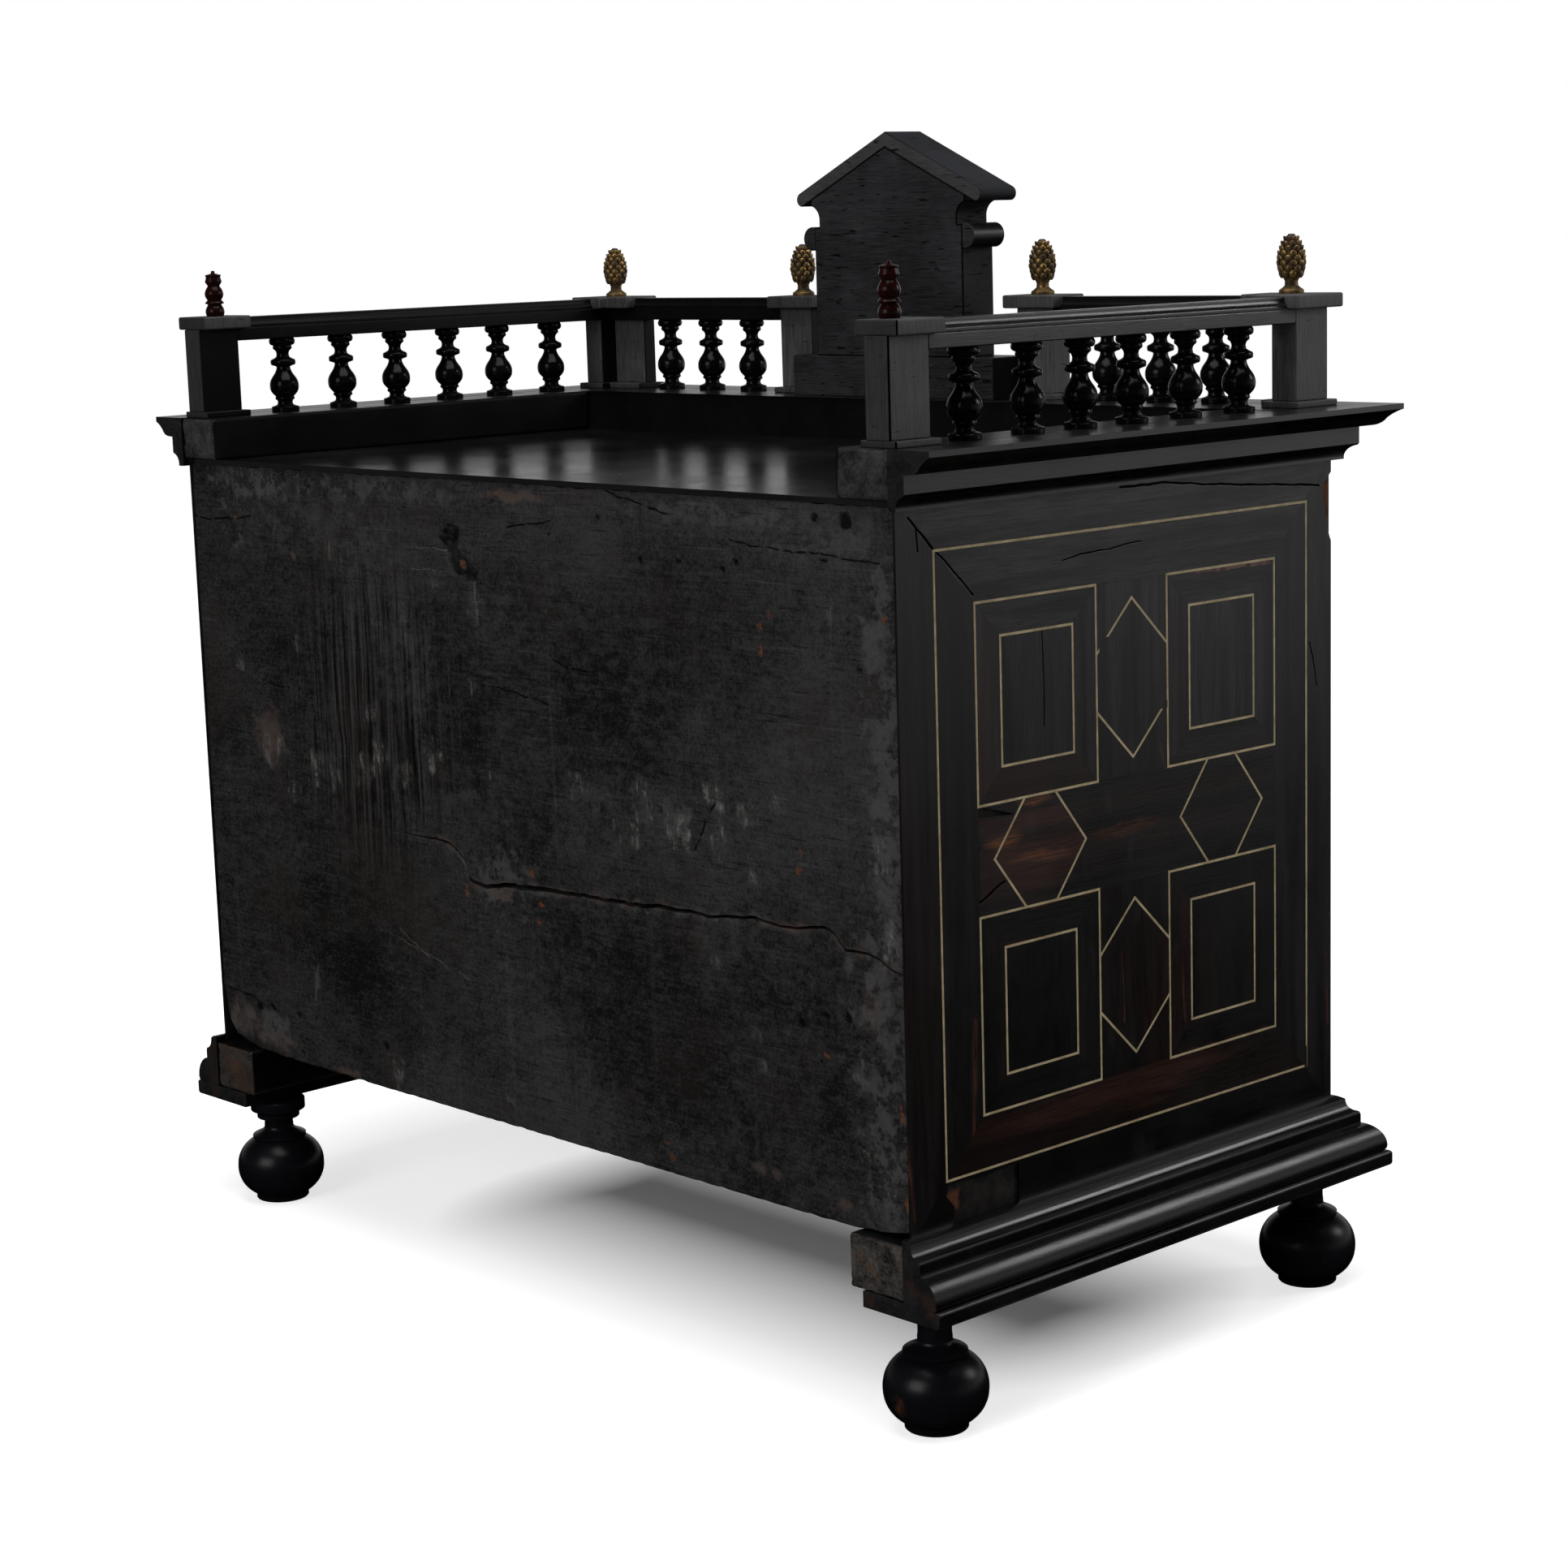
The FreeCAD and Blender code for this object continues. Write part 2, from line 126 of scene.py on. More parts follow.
def placeCopies(piece, spots, name):
    # one copy with its own mesh at each spot, joined into one piece
    copies = []
    for spot in spots:
        pick(piece)
        bpy.ops.object.duplicate(linked=False)
        copy = bpy.context.object
        copy.location = spot
        bpy.ops.object.transform_apply(location=True, rotation=True, scale=True)
        copies.append(copy)
    pick(piece)
    bpy.ops.object.delete()
    return joinPieces(copies, name)


def stretches(profile, steps):
    # a third number in a profile point is how far the stretch that leads to it swells, or hollows
    points = [profile[0][:2]]
    for point in profile[1:]:
        r0, z0 = points[-1]
        r1, z1 = point[:2]
        swell = point[2] if len(point) > 2 else 0
        count = steps if swell else 1
        for k in range(1, count + 1):
            t = k / count
            points.append((r0 + (r1 - r0) * t + swell * math.sin(math.pi * t), z0 + (z1 - z0) * t))
    return points


def turnOnLathe(name, profile, sides, steps=6):
    # profile in millimetres as radius and height, from the axis round to the axis again
    points = [Vector((r * mm, 0, z * mm)) for r, z in stretches(profile, steps)]
    dropSelection()
    bpy.ops.mesh.primitive_plane_add(size=mm, location=(0, 0, 0))
    piece = bpy.context.object
    piece.name = name
    editAll(piece)
    bpy.ops.mesh.merge(type="CENTER")
    bpy.ops.transform.translate(value=points[0])
    for low, high in zip(points, points[1:]):
        bpy.ops.mesh.extrude_vertices_move(TRANSFORM_OT_translate={"value": high - low})
    bpy.ops.mesh.select_all(action="SELECT")
    bpy.ops.mesh.spin(steps=sides, angle=2 * math.pi, center=(0, 0, 0), axis=(0, 0, 1))
    bpy.ops.mesh.select_all(action="SELECT")
    bpy.ops.mesh.remove_doubles(threshold=lathe["weld"] * mm)
    leaveEdit()
    faceOutward(piece)
    smoothBy(piece, lathe["smooth"])
    return piece


def pieceName(node):
    words = node.split("_")
    return words[0] + "".join(word.capitalize() for word in words[1:])


def copySolid(node):
    # a merged copy of a solid, with the flats joined again
    solid = frame["nodes"][node]
    piece = bpy.data.objects.new(pieceName(node), solid.data.copy())
    bpy.context.collection.objects.link(piece)
    editAll(piece)
    bpy.ops.mesh.remove_doubles(threshold=merging["weld"] * mm)
    bpy.ops.mesh.dissolve_limited(angle_limit=math.radians(merging["flat"]))
    leaveEdit()
    return piece


def prism(points, x0, x1):
    # an upright plate with the outline given as (y, z) in metres
    dropSelection()
    bpy.ops.mesh.primitive_circle_add(vertices=len(points), fill_type="NGON")
    plate = bpy.context.object
    for vertex, (y, z) in zip(plate.data.vertices, points):
        vertex.co = (x0, y, z)
    editAll(plate)
    bpy.ops.mesh.extrude_region_move(TRANSFORM_OT_translate={"value": (x1 - x0, 0, 0)})
    leaveEdit()
    faceOutward(plate)
    return plate


def giveAttribute(piece, name, values):
    made = piece.data.attributes.new(name, "FLOAT", "POINT")
    made.data.foreach_set("value", values)


def islandsOf(piece):
    # vertex numbers of each separate part of a mesh
    linked = {vertex.index: [] for vertex in piece.data.vertices}
    for edge in piece.data.edges:
        a, b = edge.vertices
        linked[a].append(b)
        linked[b].append(a)
    found = []
    waiting = set(linked)
    while waiting:
        front = [waiting.pop()]
        island = []
        while front:
            index = front.pop()
            island.append(index)
            for near in linked[index]:
                if near in waiting:
                    waiting.remove(near)
                    front.append(near)
        found.append(island)
    return found


def dress(piece, *materials):
    piece.data.materials.clear()
    for material in materials:
        piece.data.materials.append(material)


def standFor(piece, *nodes):
    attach(piece, bodyOf[nodes[0]])
    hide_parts(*nodes)


# shader nodes: a value is a socket, a number, a vector or a colour of three numbers
# the scales of noise are per metre

class Nodes:
    def __init__(self, tree):
        self.tree = tree

    def feed(self, socket, value):
        if isinstance(value, bpy.types.NodeSocket):
            self.tree.links.new(value, socket)
        else:
            socket.default_value = (*value, 1) if socket.type == "RGBA" else value

    def put(self, kind, sockets, **settings):
        node = self.tree.nodes.new("ShaderNode" + kind)
        for key, value in settings.items():
            setattr(node, key, value)
        for key, value in sockets.items():
            self.feed(node.inputs[key], value)
        return node.outputs

    def calc(self, operation, *values, clamp=False):
        return self.put("Math", dict(enumerate(values)), operation=operation, use_clamp=clamp)[0]

    def vector(self, operation, *values, output=0):
        return self.put("VectorMath", dict(enumerate(values)), operation=operation)[output]

    def scaled(self, vector, factor):
        return self.put("VectorMath", {0: vector, "Scale": factor}, operation="SCALE")[0]

    def chain(self, operation, values):
        total = values[0]
        for value in values[1:]:
            total = self.calc(operation, total, value)
        return total

    def times(self, *values):
        return self.chain("MULTIPLY", values)

    def most(self, *values):
        return self.chain("MAXIMUM", values)

    def plus(self, base, value, gain, clamp=False):
        return self.calc("MULTIPLY_ADD", value, gain, base, clamp=clamp)

    def mix(self, share, first, second):
        return self.put("Mix", {0: share, 6: first, 7: second}, data_type="RGBA")[2]

    def over(self, colour, tint, *masks):
        # the tint laid over the colour where all the masks meet
        return self.mix(self.times(*masks), colour, tint)

    def spread(self, value, low, high, toLow=0.0, toHigh=1.0):
        return self.put("MapRange", {"Value": value, "From Min": low, "From Max": high,
                                     "To Min": toLow, "To Max": toHigh})[0]

    def speckle(self, vector, scale, detail=3.0, roughness=0.55, distortion=0.0):
        return self.put("TexNoise", {"Vector": vector, "Scale": scale, "Detail": detail,
                                     "Roughness": roughness, "Distortion": distortion})["Fac"]

    def stretched(self, vector, scale, turn=(0, 0, 0), **kind):
        # noise with its own scale along each axis
        turned = self.put("Mapping", {"Vector": vector, "Rotation": turn, "Scale": scale})[0]
        return self.speckle(turned, 1.0, **kind)

    def drifted(self, vector, scale, reach):
        # the vector, wandering by up to about half the reach
        drift = self.put("TexNoise", {"Vector": vector, "Scale": scale, "Detail": 5.0})["Color"]
        drift = self.vector("SUBTRACT", drift, (0.5, 0.5, 0.5))
        return self.vector("ADD", vector, self.vector("MULTIPLY", drift, reach))

    def parts(self, vector):
        return self.put("SeparateXYZ", {"Vector": vector})

    def read(self, name):
        return self.put("Attribute", {}, attribute_name=name)["Fac"]

    def use(self, group, **sockets):
        named = {key.replace("_", " "): value for key, value in sockets.items()}
        return self.put("Group", named, node_tree=group)

    def lines(self, vector, listed, where):
        # 1 on the lines, listed in mm as start, end and half width
        return self.most(*[self.use(scratch, Vector=vector, Start=where(*start), End=where(*end),
                                    Half_Width=half * mm)["Mask"] for start, end, half in listed])


class Finish(Nodes):
    # one material, with its noise laid in the shared frame
    def __init__(self, name):
        self.material = bpy.data.materials.new(name)
        self.material.use_nodes = True
        super().__init__(self.material.node_tree)
        self.shader = self.tree.nodes["Principled BSDF"].inputs
        self.place = self.put("TexCoord", {})["Object"]

    def grain(self, axis, along, across):
        return self.use(woodGrain, Vector=self.place, Axis=axis, Along=along, Across=across)

    def scuffs(self, scale):
        return self.use(scuffs, Vector=self.place, Scale=scale)

    def cloud(self, scale, low, high, toLow=0.0, toHigh=1.0, **kind):
        return self.spread(self.speckle(self.place, scale, **kind), low, high, toLow, toHigh)

    def recolour(self, tint, *masks):
        self.feed(self.shader["Base Color"],
                  self.over(self.shader["Base Color"].links[0].from_socket, tint, *masks))

    def surface(self, look, colour, roughness, height, specular=None):
        # the look's bump is its strength and its depth in mm
        strength, deep = look["bump"]
        self.feed(self.shader["Base Color"], colour)
        self.feed(self.shader["Roughness"], roughness)
        self.feed(self.shader["Specular IOR Level"], specular or look["specular"])
        bump = self.put("Bump", {"Height": height, "Strength": strength, "Distance": deep * mm})
        self.feed(self.shader["Normal"], bump[0])
        return self.material


class Group(Nodes):
    # nodes shared by the materials; the first input is the place, and all outputs are numbers
    def __init__(self, name, inputs, outputs):
        super().__init__(bpy.data.node_groups.new(name, "ShaderNodeTree"))
        for socket, value in {"Vector": (0, 0, 0), **inputs}.items():
            kind = "NodeSocketVector" if isinstance(value, tuple) else "NodeSocketFloat"
            self.tree.interface.new_socket(socket, in_out="INPUT", socket_type=kind).default_value = value
        for socket in outputs:
            self.tree.interface.new_socket(socket, in_out="OUTPUT", socket_type="NodeSocketFloat")
        self.entry = self.tree.nodes.new("NodeGroupInput").outputs
        self.place = self.entry["Vector"]
        self.exit = self.tree.nodes.new("NodeGroupOutput").inputs

    def give(self, **outputs):
        for socket, value in outputs.items():
            self.feed(self.exit[socket], value)
        return self.tree


def makeWoodGrain():
    # streaks and fibres that run along one axis; the frequencies are per metre
    group = Group("woodGrain", {"Axis": alongX, "Along": 3.0, "Across": 70.0}, ("Streak", "Fibre", "Height"))
    less = group.calc("SUBTRACT", group.entry["Along"], group.entry["Across"])
    scale = group.vector("ADD", group.vector("MULTIPLY", group.entry["Axis"], less), group.entry["Across"])
    run = group.vector("MULTIPLY", group.place, scale)
    streak = group.speckle(run, 1.0, detail=4.0, distortion=0.5)
    fibre = group.speckle(group.scaled(run, 7.0), 1.0, roughness=0.7)
    return group.give(Streak=streak, Fibre=fibre, Height=group.plus(fibre, streak, 0.4))


def makePatch():
    # 1 inside a spot, 0 outside
    group = Group("patch", {"Middle": (0, 0, 0), "Half Size": (1, 1, 1), "Edge": 0.2}, ("Round", "Square"))
    away = group.vector("SUBTRACT", group.place, group.entry["Middle"])
    away = group.vector("ABSOLUTE", group.vector("DIVIDE", away, group.entry["Half Size"]))

    def inside(distance):
        return group.calc("DIVIDE", group.calc("SUBTRACT", 1.0, distance), group.entry["Edge"], clamp=True)

    return group.give(Round=inside(group.vector("LENGTH", away, output=1)),
                      Square=inside(group.most(*group.parts(away))))


def makeScratch():
    # 1 on the line from start to end, 0 beyond its half width
    group = Group("scratch", {"Start": (0, 0, 0), "End": alongZ, "Half Width": mm}, ("Mask",))
    fromStart = group.vector("SUBTRACT", group.place, group.entry["Start"])
    whole = group.vector("SUBTRACT", group.entry["End"], group.entry["Start"])
    reach = group.calc("DIVIDE", group.vector("DOT_PRODUCT", fromStart, whole, output=1),
                       group.vector("DOT_PRODUCT", whole, whole, output=1), clamp=True)
    gap = group.vector("DISTANCE", fromStart, group.scaled(whole, reach), output=1)
    part = group.calc("DIVIDE", gap, group.entry["Half Width"])
    return group.give(Mask=group.calc("SUBTRACT", 1.0, part, clamp=True))


def makeWormHoles():
    # small dark holes, one in only some of the cells
    group = Group("wormHoles", {"Per Metre": 25.0, "Radius": 0.02, "Share": 0.3}, ("Mask",))
    cells = group.put("TexVoronoi", {"Vector": group.place, "Scale": group.entry["Per Metre"]})
    chance = group.put("SeparateColor", {"Color": cells["Color"]})[0]
    kept = group.calc("LESS_THAN", chance, group.entry["Share"])
    near = group.calc("LESS_THAN", cells["Distance"], group.entry["Radius"])
    return group.give(Mask=group.times(kept, near))


def makeScuffs():
    # worn cloud, fine scratches and dust, all from 0 to 1
    group = Group("scuffs", {"Scale": 9.0}, ("Cloud", "Scratches", "Dust"))
    cloud = group.speckle(group.place, group.entry["Scale"], detail=6.0, roughness=0.65)
    thin = group.stretched(group.place, (900, 60, 25), turn=(0.4, 0.7, 0.3), detail=1.0)
    fine = group.speckle(group.place, 1400.0, detail=2.0)
    return group.give(Cloud=group.spread(cloud, 0.42, 0.72), Scratches=group.spread(thin, 0.68, 0.8),
                      Dust=group.spread(fine, 0.6, 0.85))


woodGrain = makeWoodGrain()
patch = makePatch()
scratch = makeScratch()
wormHoles = makeWormHoles()
scuffs = makeScuffs()


# black stained and polished wood; its nicks are short level cuts
ebonyLook = {"deep": (0.0013, 0.0013, 0.0017), "lighter": (0.0062, 0.0062, 0.0070),
             "worn": (0.042, 0.036, 0.031), "roughness": (0.24, 0.4), "specular": 0.52, "bump": (0.18, 0.4),
             "fibre": 0.35, "grain": (6.0, 160.0), "scuffs": 14.0, "nicks": 0.0, "nickFrom": 0.65,
             "nickFade": 0.05, "nickScale": (62, 62, 420), "nickDeep": -2.0, "nick": (0.0012, 0.0011, 0.001)}


def stainEbony(name, axis, look, worn=0.0):
    paint = Finish(name)
    grain = paint.grain(axis, *look["grain"])
    marks = paint.scuffs(look["scuffs"])
    tone = paint.times(paint.spread(grain["Fibre"], *noiseSpan), look["fibre"])
    tone = paint.calc("ADD", tone, paint.times(grain["Streak"], marks["Cloud"]), clamp=True)
    edge = paint.times(paint.plus(marks["Dust"], marks["Scratches"], 0.3), 0.3)
    if worn:
        edge = paint.most(edge, paint.times(marks["Cloud"], worn))
    colour = paint.over(paint.mix(tone, look["deep"], look["lighter"]), look["worn"], edge)
    height = grain["Height"]
    if look["nicks"]:
        cuts = paint.stretched(paint.place, look["nickScale"])
        nicks = paint.spread(cuts, look["nickFrom"], look["nickFrom"] + look["nickFade"], 0.0, look["nicks"])
        colour = paint.over(colour, look["nick"], nicks)
        height = paint.plus(height, nicks, look["nickDeep"])
    rough = paint.spread(paint.calc("ADD", edge, tone), 0.0, 1.0, *look["roughness"])
    paint.surface(look, colour, rough, height)
    return paint


def makeEbony(name, axis, look, worn=0.0, **changes):
    return stainEbony(name, axis, dict(look, **changes), worn).material


ebonyAlongY = makeEbony("ebonyAlongY", alongY, ebonyLook)
ebonyEdge = makeEbony("ebonyEdge", alongY, ebonyLook, worn=0.6, deep=(0.006, 0.0057, 0.0057))
turnedEbony = makeEbony("turnedEbony", alongZ, ebonyLook, roughness=(0.1, 0.18), specular=0.1)
torusEbony = makeEbony("torusEbony", alongY, ebonyLook, roughness=(0.2, 0.32), specular=0.37)
ovoloEbony = makeEbony("ovoloEbony", alongY, ebonyLook, roughness=(0.2, 0.3), specular=0.52)
# a duller ebony with little sheen: painted shade on the faces towards the inside of the gallery
innerEbony = makeEbony("innerEbony", alongY, ebonyLook, roughness=(0.4, 0.55), specular=0.12, nicks=0.5)
# black for the dark joints between veneer leaves, and a painted shadow line along the edges of the crest body
# and roof
jointBlack = makeEbony("jointBlack", alongY, ebonyLook, deep=(0.0016, 0.0014, 0.0014),
                       lighter=(0.003, 0.0026, 0.0025), specular=0.04)
# one foot is rubbed to the brown wood, and all are worn at the bottom rim; in mm from the carcase middle
footLook = dict(ebonyLook, deep=(0.0036, 0.0039, 0.0054), lighter=(0.0068, 0.0071, 0.0092),
                roughness=(0.26, 0.4), specular=0.2, rub=(0.06, 0.021, 0.010), rubAt=(-393, 228, 23),
                rubHalf=(7, 14, 9), rim=(2.6, 0.3))


def makeFootEbony(look):
    paint = stainEbony("footEbony", alongZ, look)
    x, y, z = (part * mm for part in look["rubAt"])
    ragged = paint.drifted(paint.place, 120.0, (0.006, 0, 0.006))
    rub = paint.use(patch, Vector=ragged, Middle=(x, carcaseY + y, z),
                    Half_Size=tuple(half * mm for half in look["rubHalf"]), Edge=0.8)["Round"]
    rimFrom, rimTo = look["rim"]
    rim = paint.spread(paint.parts(paint.place)[2], rimFrom * mm, rimTo * mm)
    rim = paint.times(rim, paint.cloud(90.0, 0.45, 0.6, detail=4.0))
    paint.recolour(look["rub"], paint.most(rub, rim), paint.cloud(260.0, 0.35, 0.6))
    return paint.material


footEbony = makeFootEbony(footLook)
greyLook = dict(ebonyLook, deep=(0.014, 0.0135, 0.0144), lighter=(0.082, 0.080, 0.083),
                roughness=(0.4, 0.58), specular=0.35, bump=(0.35, 0.4), fibre=0.75, nicks=0.7)
railWood = makeEbony("railWood", alongY, greyLook, worn=0.12)
crestLook = dict(greyLook, deep=(0.0028, 0.0026, 0.0031), lighter=(0.040, 0.038, 0.042), bump=(0.9, 0.4),
                 specular=0.1, fibre=0.8, nicks=0.95, nickFrom=0.62, grain=(6.0, 210.0))
crestWood = makeEbony("crestWood", alongX, crestLook, worn=0.06)
gableWood = makeEbony("gableWood", alongX, crestLook, worn=0.2, deep=(0.030, 0.029, 0.031),
                      lighter=(0.075, 0.073, 0.076))
crestMoulded = makeEbony("crestMoulded", alongZ, ebonyLook, worn=0.2, deep=(0.002, 0.0019, 0.0022),
                         lighter=(0.009, 0.0087, 0.0095), roughness=(0.3, 0.46), specular=0.25)
crestRoofWood = makeEbony("crestRoofWood", alongX, crestLook, worn=0.06, deep=(0.0045, 0.0048, 0.0064),
                          lighter=(0.022, 0.023, 0.028), nicks=0.4)

# an open glue line along the outer rear corner, and a darker rear face; widths in mm, drift in metres
seamLook = {"line": (1.35, 0.8), "black": (0.0010, 0.0009, 0.0008), "drift": (0.0006, 0.0006, 0.0),
            "rear": (0.020, 0.0185, 0.0200), "rearFrom": (1.4, 0.8), "rearShare": 0.7, "rearShine": 0.5}


def makeSeamedWood(name, node, **changes):
    wood, look = dict(greyLook, **changes), seamLook
    paint = stainEbony(name, alongZ, wood, worn=0.2)
    x, y = paint.parts(paint.drifted(paint.place, 90.0, look["drift"]))[:2]
    cornerX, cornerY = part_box(node)[1][:2]
    sideways = paint.calc("SUBTRACT", cornerX, paint.calc("ABSOLUTE", x))
    inward = paint.calc("SUBTRACT", cornerY, y)
    line = paint.spread(paint.most(sideways, inward), *(edge * mm for edge in look["line"]))
    rear = paint.spread(inward, *(edge * mm for edge in look["rearFrom"]), 0.0, look["rearShare"])
    paint.recolour(look["rear"], rear)
    paint.recolour(look["black"], line)
    shine = paint.spread(rear, 0.0, look["rearShare"], wood["specular"], wood["specular"] * look["rearShine"])
    paint.feed(paint.shader["Specular IOR Level"], paint.times(shine, paint.calc("SUBTRACT", 1.0, line)))
    return paint.material


postWood = makeSeamedWood("postWood", "gallery_posts", lighter=(0.115, 0.112, 0.116))
capWood = makeSeamedWood("capWood", "post_caps")
postBaseWood = makeSeamedWood("postBaseWood", "post_bases")
print("ebony finishes made")


# back boards: grey-black stain with marks of tools and wear
# marks are (x, z, half width, half height, amount) in mm on the back; x grows to the left of its viewer
backMarks = {
    "pale": [(320, 598, 70, 13, 0.85), (230, 572, 160, 40, 0.3), (-384, 200, 40, 90, 0.62),
             (-388, 420, 26, 200, 0.6), (-370, 300, 34, 60, 0.6), (-330, 590, 90, 24, 0.4),
             (352, 588, 14, 18, 0.9), (344, 554, 15, 12, 0.8), (14, 330, 34, 20, 0.75),
             (16, 307, 30, 22, 0.9), (340, 156, 52, 16, 0.8), (384, 152, 14, 20, 0.7),
             (-383, 558, 12, 24, 0.7), (-376, 520, 12, 26, 0.7), (-384, 470, 10, 40, 0.7),
             (-381, 384, 12, 30, 0.9), (-384, 329, 12, 18, 0.9), (-368, 285, 18, 34, 0.8),
             (-355, 237, 10, 14, 0.7), (-365, 195, 18, 26, 0.8), (-379, 162, 16, 16, 0.8),
             (170, 600, 150, 12, 0.5), (-240, 600, 130, 10, 0.45), (158, 150, 10, 14, 0.6),
             (262, 201, 5, 20, 0.6), (24, 150, 16, 8, 0.6), (-92, 392, 40, 18, 0.35),
             (-190, 392, 50, 20, 0.45), (-339, 545, 4, 18, 0.6), (-362, 540, 18, 4, 0.6),
             (120, 470, 60, 60, 0.3), (-300, 440, 60, 30, 0.25), (-20, 500, 80, 30, 0.2)],
    "chalk": [(313, 389, 13, 19, 0.8), (296, 391, 11, 17, 0.7), (279, 359, 11, 14, 0.7),
              (247, 380, 17, 17, 0.8), (224, 379, 15, 19, 0.8), (178, 387, 19, 19, 0.8),
              (158, 397, 15, 19, 0.8), (134, 388, 17, 17, 0.7), (96, 403, 17, 17, 0.7),
              (18, 395, 11, 12, 0.6), (-126, 378, 15, 14, 0.8), (-147, 406, 17, 14, 0.8),
              (-149, 389, 15, 14, 0.8), (-83, 405, 13, 12, 0.7), (-71, 399, 11, 12, 0.6),
              (-221, 410, 15, 14, 0.8), (-223, 376, 13, 17, 0.7), (-185, 380, 17, 17, 0.8),
              (-255, 401, 15, 14, 0.7), (-138, 369, 11, 12, 0.6), (-283, 413, 11, 12, 0.5),
              (214, 551, 10, 10, 0.8), (83, 535, 8, 10, 0.8), (35, 524, 8, 22, 0.9), (171, 430, 8, 10, 0.7),
              (344, 454, 8, 10, 0.7), (260, 474, 8, 10, 0.7), (40, 463, 8, 10, 0.7),
              (-381, 384, 10, 22, 0.8), (-384, 329, 10, 19, 0.8), (-355, 237, 10, 14, 0.7),
              (-365, 195, 11, 17, 0.7), (-379, 162, 10, 14, 0.7), (-261, 229, 8, 7, 0.7),
              (-220, 294, 8, 7, 0.7), (-256, 357, 8, 7, 0.7), (-257, 248, 8, 7, 0.7),
              (158, 150, 8, 24, 0.6)],
    "bare": [(308, 400, 26, 28, 0.6), (-15, 603, 40, 5, 0.9), (372, 158, 34, 18, 0.55),
             (330, 146, 40, 10, 0.5), (228, 137, 24, 4, 0.9), (-368, 285, 14, 30, 0.35),
             (-256, 156, 10, 5, 0.6), (-271, 155, 8, 5, 0.6), (-337, 147, 12, 6, 0.6),
             (262, 545, 4.5, 4.5, 1.0), (18, 308, 20, 6, 0.6)],
    "rust": [(49, 550, 4.5, 3.8, 0.9), (338, 572, 3.8, 2.2, 0.9), (2, 605, 3.8, 2.2, 0.9),
             (-303, 369, 3.8, 3, 0.8), (-305, 382, 3.8, 3, 0.6), (59, 306, 3, 6.8, 0.8),
             (-20, 330, 3.8, 3, 0.9), (-29, 308, 3.8, 2.2, 0.8), (-25, 295, 4.5, 3, 0.8),
             (-282, 537, 4.5, 3, 0.9), (-272, 528, 3, 3, 0.8), (-273, 512, 3, 3.8, 0.8),
             (-388, 541, 3, 3.8, 0.8), (-393, 217, 3, 9, 0.8), (-397, 160, 3, 10.5, 0.8),
             (-397, 416, 2.2, 7.5, 0.7), (-326, 247, 3, 2.2, 0.8), (-338, 247, 3, 2.2, 0.8),
             (-164, 145, 5.2, 3.8, 0.7), (-159, 155, 3.8, 3, 0.7)],
    "deep": [(350, 170, 5, 4, 0.8), (328, 173, 4, 3, 0.7), (290, 173, 4, 3, 0.7), (282, 154, 4, 3, 0.7),
             (287, 143, 4, 3, 0.7), (172, 168, 4, 4, 0.7), (-355, 600, 9, 6, 0.9), (-326, 603, 5, 4, 0.8),
             (-333, 575, 4, 3, 0.7), (-251, 570, 4, 3, 0.7), (-238, 564, 3, 3, 0.7), (-193, 567, 4, 3, 0.7),
             (-153, 566, 4, 3, 0.7), (-365, 507, 4, 4, 0.7), (-109, 592, 4, 3, 0.7), (-345, 276, 4, 4, 0.8),
             (-325, 274, 4, 3, 0.7), (-302, 264, 4, 3, 0.7)],
    "tool": [(168, 432, 128, 146, 1.0)],
    "dim": [(-40, 440, 150, 110, 1.0), (-190, 230, 200, 100, 0.8), (60, 480, 60, 90, 0.5),
            (200, 240, 110, 70, 0.4), (-240, 530, 150, 70, 0.5), (230, 420, 150, 110, 0.3)],
}
gouge = [(72, 573), (64, 579), (51, 579), (50, 570), (52, 561), (40, 553), (29, 547), (30, 540), (39, 539),
         (57, 544), (60, 549), (63, 557), (71, 567)]
# the split between the two boards: (x, z, half gap) in mm, shut where it has not opened
splitPath = [(400, 336, 0), (160, 341, 0), (120, 341, 0.2), (84, 341, 0.5), (69, 336, 0.6), (59, 327, 0.6),
             (57, 316, 0.7), (36, 312, 0.9), (15, 316, 1.0), (-14, 318, 1.1), (-41, 320, 0.9),
             (-85, 321, 0.7), (-126, 322, 0.8), (-175, 325, 0.8), (-214, 325, 0.6), (-255, 330, 0.6),
             (-282, 328, 0.5), (-300, 329, 0.5), (-324, 334, 0.6), (-333, 331, 0.5), (-344, 321, 0.5),
             (-364, 321, 0.5), (-375, 319, 0.4), (-388, 313, 0.4), (-400, 311, 0.3)]
# height of the worn lower edge along x, in mm
lowerEdge = [(400, 184), (396, 166), (393, 152), (385, 143), (367, 138), (353, 135.5), (315, 134),
             (250, 134.6), (207, 133.6), (-300, 133.6), (-345, 134), (-380, 137), (-400, 141)]
# depths, reaches and places in mm
boardShape = {"columns": 300, "upperRows": 108, "lowerRows": 72, "smooth": 42, "gapGain": 1.9,
              "gapJitter": 1.2, "jitterPace": (0.11, 0.02), "topChips": 1.5, "topPace": 0.05,
              "bottomChips": 1.1, "bottomPace": 0.09, "ragged": 0.55, "toolRagged": 0.4,
              "tornReach": (0.6, 4.5), "wave": 0.45, "toolGroove": 0.6, "flake": 0.9, "flakedTop": (590, 606),
              "upperEnd": (370, 392), "lowerEnd": (372, 394), "sunk": {"pale": 0.6, "bare": 0.8, "deep": 1.5},
              "edgeWear": 0.4, "endWear": 0.9, "edgeReach": (0.0, 3.0), "gougeDeep": 4.0, "gougeRag": 1.2,
              "stepDeep": 2.6, "stepFrom": 300, "stepHigh": 180, "stepEnd": 400, "stepBow": 0.0016,
              "stepRag": 3}

